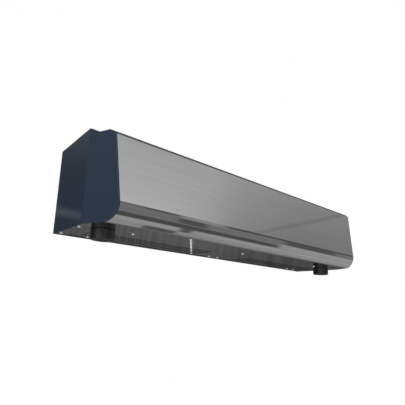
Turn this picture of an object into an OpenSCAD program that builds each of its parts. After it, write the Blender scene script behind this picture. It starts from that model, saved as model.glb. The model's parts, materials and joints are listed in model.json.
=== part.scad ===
// Over-door air curtain: a sheet steel casing with turned-in end caps, a bent stainless
// front cover, twin tangential fans on a central motor, and a swing-down outlet panel.
// X runs along the unit, -Y points into the room, +Z is up. The origin is the centre of
// the wall plate's bolt pattern, on the wall.

/* [Casing] */
// Overall length across the two end caps
body_l = 1206; // [1120:2:1800]
// Height of the rear casing
body_h = 260; // [252:1:300]
// Depth from the wall to the fold where the end caps turn in
rear_d = 215; // [213:1:245]
// Reach of the front cover's foremost line ahead of the fold
nose_d = 109; // [95:1:135]
// Angle by which the end caps turn in towards the front, in degrees
flare_a = 23; // [0:1:26]
// Backward lean of the front panel, in degrees
lean_a = 8.4; // [5:0.2:12]
// Outer radius of the bend under the front panel
bend_r = 45; // [30:1:48]
// Drop from the casing top to the hood top
hood_drop = 16; // [10:1:22]
// Run of the slope from the casing top down to the hood top
hood_run = 23; // [15:1:29]
// Height of the bevel along the hood's front edge
bevel_w = 14; // [12:1:20]
// Run of that bevel, front to back
bevel_run = 18; // [14:1:22]
// Thickness of the folded casing sheets
sheet_t = 1.5; // [1:0.1:1.8]
// Width of the return flange under the hood bevel
hood_flange = 12; // [8:1:20]

/* [End caps] */
// Wall thickness of the moulded end caps
cap_t = 3; // [2:0.25:4]
// Depth of the locating rim inside each end cap
rim_depth = 15; // [10:1:18]
// Wall thickness of the locating rim
rim_t = 2.5; // [2:0.25:3]

/* [Wall plate] */
// Height of the bolt pattern's centre above the casing bottom
mount_z = 130; // [110:1:140]
// Length of the wall plate
plate_l = 1000; // [860:2:1060]
// Height of the wall plate
plate_h = 180; // [140:1:190]
// Thickness of the wall plate
plate_t = 2.5; // [2:0.1:3]
// Spacing of the wall bolts along the unit
bolt_dx = 800; // [600:2:820]
// Spacing of the wall bolts up the wall
bolt_dz = 100; // [60:1:120]
// Radius of the wall bolt holes
bolt_hole_r = 4.5; // [3:0.1:6]
// Distance of each hook from the unit's centre
hook_x = 300; // [150:1:360]
// Width of a hook
hook_w = 40; // [20:1:60]
// Height of the hook's upturned lip
hook_lip = 12; // [8:1:14]

/* [Hanging points] */
// Spacing of the hanging nuts along the unit
hang_dx = 900; // [800:2:1000]
// Distance from the wall to the rear hanging nuts
hang_rear = 42; // [38:1:46]
// Spacing of the hanging nuts front to back
hang_dy = 136; // [120:1:140]
// Radius of the tapped hole in a hanging nut
hang_r = 3.4; // [2.5:0.05:4.3]
// Height of a hanging nut
hang_nut_h = 8; // [5:0.5:10]

/* [Intake slots] */
// Length of one intake slot
slot_l = 130; // [60:1:136]
// Width of one intake slot
slot_w = 5; // [3:0.25:6]
// Pitch of the intake slots front to back
slot_pitch = 10; // [9:0.5:11]
// Number of intake slots in a column
slot_rows = 9; // [5:1:9]
// Number of slot columns over each fan
slot_cols = 3; // [2:1:3]

/* [Fans] */
// Distance from the wall to the fan axis
axis_d = 124; // [122:1:126]
// Height of the fan axis above the casing bottom
axis_z = 150; // [146:1:152]
// Outer radius of a fan wheel
wheel_r = 65; // [60:1:66]
// Gap between a wheel's outer disc and the bulkhead that carries its stub axle
wheel_gap = 17; // [8:1:30]
// Distance from the unit's centre to the wheel's inner disc
wheel_x = 98; // [96:1:104]
// Radial width of the blade ring
blade_ring = 13; // [9:0.5:16]
// Thickness of a blade
blade_t = 1; // [0.8:0.1:1.6]
// Number of blades round a wheel
blade_n = 30; // [18:1:36]
// Forward curl of a blade from root to tip, in degrees
blade_curl = 14; // [6:1:20]
// Thickness of a wheel disc
disc_t = 2; // [1.5:0.25:3]
// Number of support rings between the end discs
ring_n = 2; // [1:1:3]
// Radius of the stub axle at the wheel's outer end
axle_r = 5; // [4:0.25:6]
// Radius of the scroll wall round the wheel
scroll_r = 84; // [82:0.5:86]
// Thickness of the scroll and tongue sheets
guide_t = 1.2; // [0.8:0.1:1.5]
// Radius of the rolled nose of the tongue
nose_r = 6; // [4:0.25:7]
// Running gap between the wheel and the tongue's nose
tongue_gap = 5; // [3:0.5:8]

/* [Motor] */
// Outer radius of the motor housing
motor_r = 52; // [50:1:56]
// Length of the motor housing
motor_l = 130; // [120:1:136]
// Wall thickness of the motor's end bells
bell_t = 2; // [1.5:0.25:3]
// Radius of the motor shaft
shaft_r = 6; // [5:0.25:7]
// Outer radius of the rotor core
rotor_r = 31.5; // [28:0.5:33]
// Length of the rotor core
core_l = 60; // [50:1:64]
// Outer radius of the motor's resilient rings
mount_ring_r = 30; // [27:0.5:32]
// Width of a resilient ring
mount_ring_w = 10; // [8:0.5:10]
// Thickness of the motor bracket's arms
arm_t = 3; // [2:0.25:4]

/* [Outlet panel] */
// Distance from the fold back to the seam behind the front cover
seam_back = 25; // [23:1:26]
// Distance from the fold back to the front cover's screw row
screw_back = 15; // [13:1:17]
// Length of the fixed strip between the swing-down panel and each end cap
strip_l = 36; // [32:1:60]
// Distance from the panel's end to each outer front screw
screw_end = 117; // [90:1:160]
// Distance from the wall to the hinge axis
hinge_d = 30; // [28:1:32]
// Radius of a hinge knuckle
knuckle_r = 3; // [2.8:0.1:3.2]
// Radius of a hinge pin
pin_r = 1.5; // [1:0.1:1.8]
// Length of one hinge
hinge_l = 60; // [48:1:80]
// Distance from the panel's end to the middle of each outer hinge
hinge_end = 72; // [50:1:120]
// Thickness of a hinge leaf
leaf_t = 1.5; // [1.2:0.1:1.6]
// Width of the outlet openings, front to back
outlet_w = 94; // [80:1:96]
// Distance from the wall to the rear edge of the outlet openings
outlet_rear = 50; // [49:1:52]
// Distance from the unit's centre to the outlet openings
outlet_x = 92; // [90:1:100]
// Distance from the outlet openings to the panel's end
outlet_end = 18; // [14:1:40]
// Thickness of the outlet grilles
grille_t = 1.2; // [0.8:0.1:1.4]
// Length of a grille slot
grille_slot_l = 34; // [20:1:36]
// Width of a grille slot
grille_slot_w = 6; // [3:0.5:7]
// Pitch of the grille slots across the outlet
grille_pitch = 10; // [8.5:0.5:11]
// Width of the bars between the grille's slot columns
grille_bar = 6; // [4:0.5:9]

/* [Knobs] */
// Outer radius of a knob
knob_r = 33; // [20:0.5:34]
// Height of a knob
knob_h = 27.5; // [18:0.5:32]
// Distance from the panel's end to each knob's axis
knob_end = 35; // [34:1:60]
// Distance from the fold back to the knobs' axes
knob_back = 33; // [32:1:34]
// Radius of the latch stud
stud_r = 4; // [3:0.25:5]
// Length of the latch crossbar
crossbar_l = 28; // [24:1:29]
// Width of the latch crossbar
crossbar_w = 5; // [4:0.25:6]

/* [Electrics] */
// Distance from the unit's centre to the control box
box_x = 150; // [130:1:240]
// Length of the control box
box_l = 240; // [200:1:280]
// Height of the control box
box_h = 120; // [100:1:124]
// Depth of the control box
box_d = 40; // [36:1:46]
// Height of the control box above the casing bottom
box_z = 80; // [70:1:90]
// Radius of the bore through the cable gland
gland_r = 5.5; // [4:0.25:6.5]
// Distance of the cable gland from the unit's centre
gland_x = 250; // [180:1:330]
// Radius of the motor cable
cable_r = 3.5; // [2.5:0.25:4]

/* [Fits] */
// Gap between pieces that are fixed to each other
seat_gap = 0.3; // [0.2:0.05:0.4]
// Radial clearance of the running fits
run_fit = 0.05; // [0.03:0.01:0.09]
// Radial clearance of a screw in its hole
screw_fit = 0.2; // [0.1:0.05:0.4]
// Radius of the small sheet metal screws
screw_r = 2; // [1.5:0.1:2.4]

/* [Hidden] */
$fn = 64;

// Planes of the casing, in casing coordinates: Y = 0 is the wall, Z = 0 the casing bottom.
fold_y = -rear_d;
back_y = -plate_t;
back_in = back_y - sheet_t;
seam_y = fold_y + seam_back;
screw_y = fold_y + screw_back;
knob_y = fold_y + knob_back;
hinge_y = -hinge_d;
axis_y = -axis_d;
outlet_y = -outlet_rear;
edge_gap = 4;
seam_gap = 1.5;
panel_rear = hinge_y - edge_gap;
panel_front = seam_y + seam_gap / 2;
flange_z = sheet_t + seat_gap;
flange_top = flange_z + sheet_t;
inner_low = flange_top + seat_gap;
inner_high = body_h - 2 * sheet_t - seat_gap;
part_y = fold_y + 8.5;
part_rear = part_y + sheet_t;
part_flange_y = knob_y + 18;
flange_w = 20;

// The section's straight lines and the centre of its bend.
bend_c = [fold_y - nose_d + bend_r, bend_r];
crease = bend_c + bend_r * [-cos(lean_a), sin(lean_a)];
bevel_z = body_h - hood_drop - bevel_w;
bevel_y = crease[0] + (bevel_z - crease[1]) * tan(lean_a);
bevel_low = [bevel_y, bevel_z];
bevel_high = [bevel_y + bevel_run, bevel_z + bevel_w];
slope_low = [fold_y - hood_run, body_h - hood_drop];
toe = [crease[0] - crease[1] * tan(lean_a), 0];
section_points = [
    [0, 0], [0, body_h], [fold_y, body_h], slope_low, bevel_high, bevel_low, toe
];

// The plan: a rectangle behind the fold and a trapezium ahead of it, run past both faces.
plan_over = 60;
plan_run = nose_d + plan_over;
plan_in = plan_run * tan(flare_a);
plan_points = [
    [-body_l / 2, plan_over], [-body_l / 2, fold_y],
    [-body_l / 2 + plan_in, fold_y - plan_run], [body_l / 2 - plan_in, fold_y - plan_run],
    [body_l / 2, fold_y], [body_l / 2, plan_over]
];

// Distances along X, from the unit's centre.
cap_in = body_l / 2 - cap_t;
sheet_end = cap_in - seat_gap;
strip_in = sheet_end - strip_l;
panel_x = strip_in - seam_gap;
knob_x = panel_x - knob_end;
hinge_x = panel_x - hinge_end;
screw_x = panel_x - screw_end;
outlet_l = panel_x - outlet_end - outlet_x;
end_screw_x = cap_in - 8;
bulk_x = panel_x + 3;
bulk_t = 2;
bulk_flange = 12;
inner_bulk_x = wheel_x - 14;
chamber_in = inner_bulk_x + sheet_t + seat_gap;
chamber_out = bulk_x - seat_gap;
wheel_end = bulk_x - wheel_gap;
wheel_l = wheel_end - wheel_x;
box_end = box_x + box_l;

// ---- Geometry helpers ----

function unit(v) = v / norm(v);
function left_of(v) = [-v[1], v[0]];

// Corner b of the path a-b-c, moved d to the left of the path.
function mitre(a, b, c, d) =
    let (n = left_of(unit(b - a)), m = left_of(unit(c - b))) b + d * (n + m) / (1 + n * m);

// A closed anticlockwise path, moved inwards by d.
function inset_path(p, d) =
    [for (i = [0 : len(p) - 1])
        mitre(p[(i + len(p) - 1) % len(p)], p[i], p[(i + 1) % len(p)], d)];

// Point i of an open path, moved d to the left.
function side_point(p, i, d) =
    i == 0 ? p[0] + d * left_of(unit(p[1] - p[0]))
    : i == len(p) - 1 ? p[i] + d * left_of(unit(p[i] - p[i - 1]))
    : mitre(p[i - 1], p[i], p[i + 1], d);

// A folded sheet's profile: the path, and the same path moved t to its left.
module folded(p, t) {
    polygon(concat(p, [for (i = [len(p) - 1 : -1 : 0]) side_point(p, i, t)]));
}

// The unit's outer section, in Y and Z, moved inwards by d.
module section(d = 0) {
    p = inset_path(section_points, d);
    r = bend_r - d;
    union() {
        polygon([
            p[0], p[1], p[2], p[3], p[4], p[5],
            bend_c + r * [-cos(lean_a), sin(lean_a)], bend_c + [0, -r]
        ]);
        translate(bend_c) circle(r);
    }
}

// The unit's plan, in X and Y, moved inwards by d and made a tall block.
module plan_block(d = 0) {
    translate([0, 0, -body_h]) linear_extrude(3 * body_h) polygon(inset_path(plan_points, d));
}

// A Y-Z profile run along X between x0 and x1.
module along_x(x0, x1) {
    translate([x0, 0, 0]) rotate([90, 0, 90]) linear_extrude(x1 - x0) children();
}

// A cylinder on the fan axis between x0 and x1.
module on_axis(r, x0, x1) {
    translate([x0, axis_y, axis_z]) rotate([0, 90, 0]) cylinder(r = r, h = x1 - x0);
}

// A tube on the fan axis.
module tube_on_axis(r_out, r_in, x0, x1) {
    difference() {
        on_axis(r_out, x0, x1);
        on_axis(r_in, x0 - 1, x1 + 1);
    }
}

// The casing's frame, set into the part's own frame at the wall plate.
module in_place() {
    translate([0, 0, -mount_z]) children();
}

// The right-hand piece, or its mirror image at the left.
module handed(side) {
    mirror([side < 0 ? 1 : 0, 0, 0]) children();
}

// The same piece at both ends.
module both_ends() {
    children();
    mirror([1, 0, 0]) children();
}

// A vertical hole through the sheets at height z.
module drill(x, y, z, r) {
    translate([x, y, z - 20]) cylinder(r = r, h = 40);
}

// A pan-head screw driven upwards, its head below z.
module screw_up(x, y, z, grip) {
    translate([x, y, z - screw_r * 1.2]) cylinder(r1 = screw_r * 1.5, r2 = screw_r * 2, h = screw_r * 1.2);
    translate([x, y, z - 0.5]) cylinder(r = screw_r, h = grip + 0.5);
}

// A pan-head screw driven downwards, its head above z.
module screw_down(x, y, z, grip) {
    translate([x, y, z]) cylinder(r1 = screw_r * 2, r2 = screw_r * 1.5, h = screw_r * 1.2);
    translate([x, y, z - grip]) cylinder(r = screw_r, h = grip + 0.5);
}

// ---- Casing ----

end_screw_rows = [hinge_y - 10, knob_y + 5];
top_rows = [back_y - 35, fold_y + 30];
top_screw_end = 100;
top_screw_x = [-3, -1, 1, 3] * (sheet_end - top_screw_end) / 3;
top_screw_y = back_y - 12;

module wall_plate() {
    lip_z = mount_z + plate_h / 2;
    reach = sheet_t + 2.5;
    color("silver") in_place() difference() {
        union() {
            along_x(-plate_l / 2, plate_l / 2)
                translate([-plate_t, mount_z - plate_h / 2]) square([plate_t, plate_h]);
            for (x = [-hook_x, hook_x])
                along_x(x - hook_w / 2, x + hook_w / 2)
                    folded([
                        [-plate_t / 2, lip_z - plate_t], [-plate_t - reach - plate_t, lip_z - plate_t],
                        [-plate_t - reach - plate_t, lip_z + hook_lip]
                    ], -plate_t);
        }
        for (x = [-bolt_dx / 2, bolt_dx / 2], z = [-bolt_dz / 2, bolt_dz / 2])
            translate([x, 5, mount_z + z]) rotate([90, 0, 0]) cylinder(r = bolt_hole_r, h = 20);
        for (x = lock_xs) lock_hole(x);
    }
}

lock_xs = [-hook_x - 50, hook_x + 50];
lock_z = mount_z - plate_h / 2 + 18;

module lock_hole(x) {
    translate([x, 5, lock_z]) rotate([90, 0, 0]) cylinder(r = screw_r + screw_fit, h = 30);
}

module wall_lock_screws() {
    color("silver") in_place() for (x = lock_xs) translate([x, back_in, lock_z]) {
        rotate([90, 0, 0]) cylinder(r1 = screw_r * 2, r2 = screw_r * 1.5, h = screw_r * 1.2);
        rotate([-90, 0, 0]) cylinder(r = screw_r, h = plate_t + sheet_t - 0.5);
    }
}

module back_panel() {
    top_z = body_h - sheet_t - seat_gap;
    hook_z = mount_z + plate_h / 2;
    color("slategray") in_place() difference() {
        along_x(-sheet_end, sheet_end)
            folded([
                [hinge_y + edge_gap, 0], [back_y, 0], [back_y, top_z], [back_y - flange_w, top_z]
            ], sheet_t);
        for (x = [-hook_x, hook_x])
            translate([x - hook_w / 2 - 1, back_in - 1, hook_z - hook_lip - 5])
                cube([hook_w + 2, sheet_t + 2, hook_lip + 5 + seat_gap]);
        for (x = lock_xs) lock_hole(x);
        for (x = top_screw_x) drill(x, top_screw_y, top_z, screw_r + screw_fit);
    }
}

// The room that the end caps' rims need beside the return flanges under the hood bevel.
module rim_relief() {
    intersection() {
        along_x(-body_l / 2, body_l / 2) intersection() {
            section(sheet_t);
            translate([fold_y - nose_d, bevel_z - 8]) square([nose_d, 16]);
        }
        difference() {
            plan_block(cap_t / 2);
            plan_block(cap_t + rim_depth + 1);
        }
    }
}

module top_cover() {
    first_slot = axis_y - (slot_rows - 1) / 2 * slot_pitch + 8;
    color("darkslategray") in_place() difference() {
        intersection() {
            along_x(-body_l / 2, body_l / 2)
                folded([
                    [back_y, body_h], section_points[2], slope_low, bevel_high, bevel_low,
                    bevel_low + [hood_flange, 0]
                ], sheet_t);
            plan_block(cap_t + seat_gap);
        }
        rim_relief();
        for (x = top_screw_x) drill(x, top_screw_y, body_h, screw_r + screw_fit);
        for (x = [-end_screw_x, end_screw_x], y = top_rows) drill(x, y, body_h, screw_r + screw_fit);
        for (x = [-hang_dx / 2, hang_dx / 2], y = [0, hang_dy])
            drill(x, -hang_rear - y, body_h, hang_r + 1.1);
        drill(gland_x, -hang_rear, body_h, gland_r + 4.5 + screw_fit);
        for (side = [-1, 1], c = [0 : slot_cols - 1], r = [0 : slot_rows - 1])
            translate([
                side * (wheel_x + wheel_l / 2 + (c - (slot_cols - 1) / 2) * (slot_l + 10)) - slot_l / 2,
                first_slot + r * slot_pitch - slot_w / 2, body_h - 5
            ]) cube([slot_l, slot_w, 10]);
    }
}

module top_cover_screws() {
    color("silver") in_place() for (x = top_screw_x) screw_down(x, top_screw_y, body_h, 6);
}

// The right-hand end cap: a wall across the whole section and a rim inside the sheets.
module end_cap_right_shape() {
    rim_in = sheet_t + seat_gap;
    rim_rear = hinge_y + edge_gap - 1;
    difference() {
        union() {
            intersection() {
                along_x(0, body_l / 2 + 1) section(0);
                difference() {
                    plan_block(0);
                    plan_block(cap_t);
                }
            }
            intersection() {
                along_x(0, body_l / 2 + 1) difference() {
                    section(rim_in);
                    section(rim_in + rim_t);
                    translate([rim_rear, -1]) square([-rim_rear + 1, body_h + 2]);
                }
                difference() {
                    plan_block(cap_t / 2);
                    plan_block(cap_t + rim_depth);
                }
            }
        }
        for (y = end_screw_rows) drill(end_screw_x, y, 0, screw_r + screw_fit);
        for (y = top_rows) drill(end_screw_x, y, body_h, screw_r + screw_fit);
    }
}

module end_cap_left() {
    color("darkslateblue") in_place() handed(-1) end_cap_right_shape();
}

module end_cap_right() {
    color("darkslateblue") in_place() end_cap_right_shape();
}

module end_cap_screws() {
    color("white") in_place() both_ends() {
        for (y = end_screw_rows) screw_up(end_screw_x, y, 0, 8);
        for (y = top_rows) screw_down(end_screw_x, y, body_h, 8);
    }
}

module front_cover() {
    top_z = bevel_z - seat_gap;
    color("lightgray") in_place() difference() {
        intersection() {
            along_x(-body_l / 2, body_l / 2) union() {
                intersection() {
                    difference() {
                        section(0);
                        section(sheet_t);
                    }
                    translate([fold_y - nose_d - 10, -1])
                        square([seam_y - seam_gap / 2 - fold_y + nose_d + 10, top_z + 1]);
                }
                translate([bevel_y, top_z - sheet_t]) square([hood_flange, sheet_t]);
            }
            plan_block(cap_t + seat_gap);
        }
        rim_relief();
        for (x = [-screw_x, 0, screw_x]) drill(x, screw_y, 0, screw_r + screw_fit);
    }
}

module front_cover_screws() {
    color("white") in_place() for (x = [-screw_x, 0, screw_x]) screw_up(x, screw_y, 0, 7);
}

module front_partition() {
    high_z = body_h - sheet_t - seat_gap;
    half_l = cap_in - rim_depth - 1;
    color("silver") in_place() difference() {
        along_x(-half_l, half_l)
            folded([
                [part_rear + flange_w - 4, high_z], [part_y, high_z], [part_y, flange_z],
                [part_flange_y, flange_z]
            ], sheet_t);
        for (x = [-screw_x, 0, screw_x]) drill(x, screw_y, 0, screw_r + screw_fit);
        for (x = [-knob_x, knob_x]) {
            translate([x, knob_y, 0]) cylinder(r = stud_r * 2, h = 10);
            translate([x - crossbar_l / 2 - 1.5, knob_y - crossbar_w / 2 - 1.5, 0])
                cube([crossbar_l + 3, crossbar_w + 3, 10]);
        }
        translate([cable_x, part_y + 10, axis_z]) rotate([90, 0, 0]) cylinder(r = grommet_r - 2, h = 20);
    }
}

module bulkhead_shape() {
    color("silver") difference() {
        union() {
            translate([bulk_x, part_rear + seat_gap, inner_low])
                cube([bulk_t, back_in - part_rear - 2 * seat_gap, inner_high - inner_low]);
            translate([bulk_x, back_in - seat_gap - bulk_t, inner_low])
                cube([bulk_flange, bulk_t, inner_high - inner_low]);
        }
        on_axis(axle_rubber_r + 1, bulk_x - 5, bulk_x + 10);
    }
}

module bulkhead_left() {
    in_place() handed(-1) bulkhead_shape();
}

module bulkhead_right() {
    in_place() bulkhead_shape();
}

module inner_bulkhead_shape() {
    color("silver") difference() {
        union() {
            translate([inner_bulk_x, part_rear + seat_gap, inner_low])
                cube([sheet_t, back_in - part_rear - 2 * seat_gap, inner_high - inner_low]);
            translate([inner_bulk_x, back_in - seat_gap - sheet_t, inner_low])
                cube([bulk_flange, sheet_t, inner_high - inner_low]);
        }
        on_axis(shaft_r * 3, inner_bulk_x - 5, inner_bulk_x + 10);
    }
}

module inner_bulkhead_left() {
    in_place() handed(-1) inner_bulkhead_shape();
}

module inner_bulkhead_right() {
    in_place() inner_bulkhead_shape();
}

module bottom_strip_shape() {
    color("gray") difference() {
        translate([strip_in, panel_front, 0])
            cube([sheet_end - strip_in, hinge_y + edge_gap - seat_gap - panel_front, sheet_t]);
        for (y = end_screw_rows) drill(end_screw_x, y, 0, screw_r + screw_fit);
    }
}

module bottom_strip_left() {
    in_place() handed(-1) bottom_strip_shape();
}

module bottom_strip_right() {
    in_place() bottom_strip_shape();
}

module hanging_nuts() {
    color("silver") in_place()
        for (x = [-hang_dx / 2, hang_dx / 2], y = [0, hang_dy])
            translate([x, -hang_rear - y, body_h - sheet_t - hang_nut_h]) difference() {
                cylinder(r = hang_r * 2, h = hang_nut_h, $fn = 6);
                translate([0, 0, -1]) cylinder(r = hang_r, h = hang_nut_h + 2);
            }
}

// ---- Cable entry ----

gland_thread = gland_r + 4.5;
gland_flange_h = 6;
gland_thread_h = 6;
gland_hex_h = 7;
gland_nut_total = 12;

module cable_gland() {
    color("black") in_place() translate([gland_x, -hang_rear, body_h]) difference() {
        union() {
            cylinder(r = gland_thread + 4, h = gland_flange_h, $fn = 6);
            translate([0, 0, -12]) cylinder(r = gland_thread, h = 12 + gland_flange_h + gland_thread_h);
        }
        translate([0, 0, -13]) cylinder(r = gland_r, h = 50);
    }
}

module gland_nut() {
    color("black") in_place() translate([gland_x, -hang_rear, body_h + gland_flange_h + seat_gap])
        difference() {
            union() {
                cylinder(r = gland_thread + 3.5, h = gland_hex_h, $fn = 6);
                translate([0, 0, gland_hex_h - 0.5])
                    cylinder(r1 = gland_thread + 1.5, r2 = gland_r + 2, h = gland_nut_total - gland_hex_h + 0.5);
            }
            translate([0, 0, -1]) cylinder(r = gland_thread + run_fit, h = gland_thread_h + 1);
            translate([0, 0, gland_thread_h - 1]) cylinder(r = gland_r, h = gland_nut_total);
        }
}

module gland_locknut() {
    color("black") in_place() translate([gland_x, -hang_rear, body_h - sheet_t - 5]) difference() {
        cylinder(r = gland_thread + 4, h = 5, $fn = 6);
        translate([0, 0, -1]) cylinder(r = gland_thread + run_fit, h = 10);
    }
}

// ---- Air guides ----

scroll_c = [axis_y + 4, axis_z - 8];
scroll_start = 80;
scroll_low = 12;
nose_a = 236;
nose_c = [axis_y, axis_z] + (wheel_r + tongue_gap + nose_r) * [cos(nose_a), sin(nose_a)];
tongue_foot = [outlet_y - outlet_w - 4, inner_low];

// A disc with the wall below its right-hand side, down to the panel.
module scroll_fill(r) {
    circle(r);
    translate([0, scroll_low - scroll_c[1]]) square([r, scroll_c[1] - scroll_low]);
}

module scroll_shape() {
    reach = scroll_r * 2;
    color("gainsboro") along_x(chamber_in, chamber_out) translate(scroll_c) intersection() {
        difference() {
            scroll_fill(scroll_r + guide_t);
            scroll_fill(scroll_r);
        }
        polygon([
            [scroll_r / 2, -reach], [reach, -reach], [reach, reach],
            reach * [cos(scroll_start), sin(scroll_start)], [0, 0]
        ]);
    }
}

module scroll_left() {
    in_place() handed(-1) scroll_shape();
}

module scroll_right() {
    in_place() scroll_shape();
}

module tongue_shape() {
    baffle_end = [part_rear + seat_gap, nose_c[1] + 8];
    color("gainsboro") along_x(chamber_in, chamber_out) difference() {
        union() {
            translate(nose_c) circle(nose_r);
            folded([
                [knob_y + crossbar_l / 2 + 1.5, tongue_foot[1]], tongue_foot, nose_c + [nose_r - 0.1, 0]
            ], guide_t);
            folded([baffle_end + [0, 12], baffle_end, nose_c], guide_t);
        }
        translate(nose_c) circle(nose_r - guide_t);
    }
}

module tongue_left() {
    in_place() handed(-1) tongue_shape();
}

module tongue_right() {
    in_place() tongue_shape();
}

// ---- Fans ----

blade_steps = 4;
blade_out = wheel_r - 1;
blade_in = wheel_r - blade_ring;
bearing_len = 13;
bearing_wall = 4;
axle_rubber_wall = 9;
axle_rubber_r = axle_r + bearing_wall + axle_rubber_wall;
housing_len = 9;
housing_wall = 2.5;
housing_flange = 13;
axle_end = bulk_x + bearing_len;
hub_in = wheel_x - 4;
hub_out = wheel_x + 22;
hub_wall = 4;
hub_rubber_wall = 12;
hub_r = shaft_r + hub_wall;
rubber_hub_r = hub_r + hub_rubber_wall;

// One edge of a blade, at the step from its root to its tip.
function blade_point(step, half_t) =
    let (k = step / blade_steps, r = blade_in + (blade_out - blade_in) * k,
         a = blade_curl * k * k + half_t / r * 180 / PI)
    r * [cos(a), sin(a)];

module blade() {
    polygon(concat(
        [for (s = [0 : blade_steps]) blade_point(s, -blade_t / 2)],
        [for (s = [blade_steps : -1 : 0]) blade_point(s, blade_t / 2)]
    ));
}

module impeller_shape() {
    bay = wheel_l / (ring_n + 1);
    color("lightsteelblue") {
        translate([wheel_x + disc_t / 2, axis_y, axis_z]) rotate([90, 0, 90])
            linear_extrude(wheel_l - disc_t)
                for (i = [0 : blade_n - 1]) rotate(i * 360 / blade_n) blade();
        tube_on_axis(wheel_r, rubber_hub_r - 3, wheel_x, wheel_x + disc_t);
        tube_on_axis(rubber_hub_r + disc_t + 0.1, rubber_hub_r + 0.1, wheel_x + 1, wheel_x + 14);
        for (i = [1 : ring_n])
            tube_on_axis(wheel_r, blade_in - 2, wheel_x + i * bay - disc_t / 2, wheel_x + i * bay + disc_t / 2);
        on_axis(wheel_r, wheel_end - disc_t, wheel_end);
        on_axis(axle_r * 2, wheel_end - 12, wheel_end + 3);
        on_axis(axle_r, wheel_end - 1, axle_end + 1);
    }
}

module impeller_left() {
    in_place() handed(-1) impeller_shape();
}

module impeller_right() {
    in_place() impeller_shape();
}

module hub_rubbers() {
    color("black") in_place() both_ends()
        tube_on_axis(rubber_hub_r, hub_r + run_fit, wheel_x + disc_t + 0.1, wheel_x + 14);
}

module hub_bushes() {
    color("goldenrod") in_place() both_ends() difference() {
        on_axis(hub_r, hub_in, hub_out);
        on_axis(shaft_r + run_fit, hub_in - 1, hub_out + 1);
        translate([hub_in + 3, axis_y, axis_z]) cylinder(r = 1.5, h = 2 * hub_r);
    }
}

module motor_shaft() {
    color("silver") in_place() on_axis(shaft_r, 1 - hub_out, hub_out - 1);
}

module axle_bearings() {
    color("darkgoldenrod") in_place() both_ends()
        tube_on_axis(axle_r + bearing_wall, axle_r + run_fit, bulk_x - 1, axle_end);
}

module bearing_rubbers() {
    color("black") in_place() both_ends()
        tube_on_axis(
            axle_rubber_r, axle_r + bearing_wall + run_fit, bulk_x, bulk_x + bulk_t + housing_len - seat_gap
        );
}

module bearing_housings() {
    face = bulk_x + bulk_t;
    color("silver") in_place() both_ends() {
        tube_on_axis(axle_rubber_r + housing_flange, axle_rubber_r + run_fit, face, face + bulk_t);
        tube_on_axis(axle_rubber_r + housing_wall, axle_rubber_r + run_fit, face + 1, face + housing_len);
        tube_on_axis(
            axle_rubber_r + housing_wall, axle_r + bearing_wall + 3,
            face + housing_len - 0.01, face + housing_len + sheet_t
        );
    }
}

// ---- Motor ----

bell_end = motor_l / 2;
boss_out = bell_end + mount_ring_w + 1;
boss_r = mount_ring_r - 10;
ball_race = 8;
bearing_r = shaft_r + ball_race;
arm_x = bell_end + 1 + (mount_ring_w - arm_t) / 2;
clamp_r = mount_ring_r + seat_gap;
strap_t = 4;
ear_in = clamp_r + strap_t - 1;
ear_out = ear_in + 15;
ear_mid = (ear_in + ear_out) / 2 + 1;

module motor_bell_shape() {
    color("dimgray") {
        tube_on_axis(motor_r, motor_r - bell_t, seat_gap / 2, bell_end);
        tube_on_axis(motor_r, bearing_r + run_fit, bell_end - bell_t, bell_end);
        tube_on_axis(boss_r, bearing_r + run_fit, bell_end - 8, boss_out - 3);
        tube_on_axis(boss_r, shaft_r + 1, boss_out - 3.01, boss_out);
    }
}

module motor_bell_left() {
    in_place() handed(-1) motor_bell_shape();
}

module motor_bell_right() {
    in_place() motor_bell_shape();
}

module stator_core() {
    color("gray") in_place()
        tube_on_axis(motor_r - bell_t - run_fit, rotor_r + 0.7, -core_l / 2, core_l / 2);
}

module stator_windings() {
    color("peru") in_place() both_ends() translate([0, axis_y, axis_z]) rotate([0, 90, 0])
        translate([0, 0, core_l / 2]) rotate_extrude() {
            translate([rotor_r + 2, 0]) square([motor_r - bell_t - rotor_r - 5, 9]);
            translate([(rotor_r + motor_r - bell_t - 1) / 2, 9])
                circle((motor_r - bell_t - rotor_r - 5) / 2);
        }
}

module rotor_core() {
    color("darkgray") in_place() tube_on_axis(rotor_r, shaft_r + run_fit, -core_l / 2, core_l / 2);
}

module motor_bearings() {
    color("silver") in_place() both_ends()
        tube_on_axis(bearing_r, shaft_r + run_fit, bell_end - 7, bell_end + 3);
}

module motor_rubber_rings() {
    color("black") in_place() both_ends()
        tube_on_axis(mount_ring_r, boss_r + run_fit, bell_end + 1, bell_end + 1 + mount_ring_w);
}

// Arms from the back panel that cradle the motor's resilient rings from behind.
module motor_bracket() {
    foot_y = back_in - seat_gap;
    ear_w = mount_ring_w;
    color("silver") in_place() {
        translate([-arm_x - arm_t, foot_y - arm_t, axis_z - ear_out])
            cube([2 * (arm_x + arm_t), arm_t, 2 * ear_out]);
        both_ends() difference() {
            union() {
                along_x(arm_x, arm_x + arm_t) polygon([
                    [foot_y - 1, axis_z - ear_out], [axis_y + seat_gap, axis_z - ear_out],
                    [axis_y + seat_gap, axis_z + ear_out], [foot_y - 1, axis_z + ear_out]
                ]);
                for (z = [axis_z - ear_out, axis_z + ear_in])
                    translate([arm_x + arm_t / 2 - ear_w / 2, axis_y + seat_gap, z])
                        cube([ear_w, arm_t, ear_out - ear_in]);
            }
            on_axis(clamp_r, arm_x - 10, arm_x + 20);
            motor_clamp_bores(screw_r + screw_fit);
        }
    }
}

// The four holes where the motor's clamp straps bolt to the bracket's ears.
module motor_clamp_bores(r) {
    for (z = [axis_z - ear_mid, axis_z + ear_mid])
        translate([arm_x + arm_t / 2, axis_y + 12, z]) rotate([90, 0, 0]) cylinder(r = r, h = 24);
}

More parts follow.
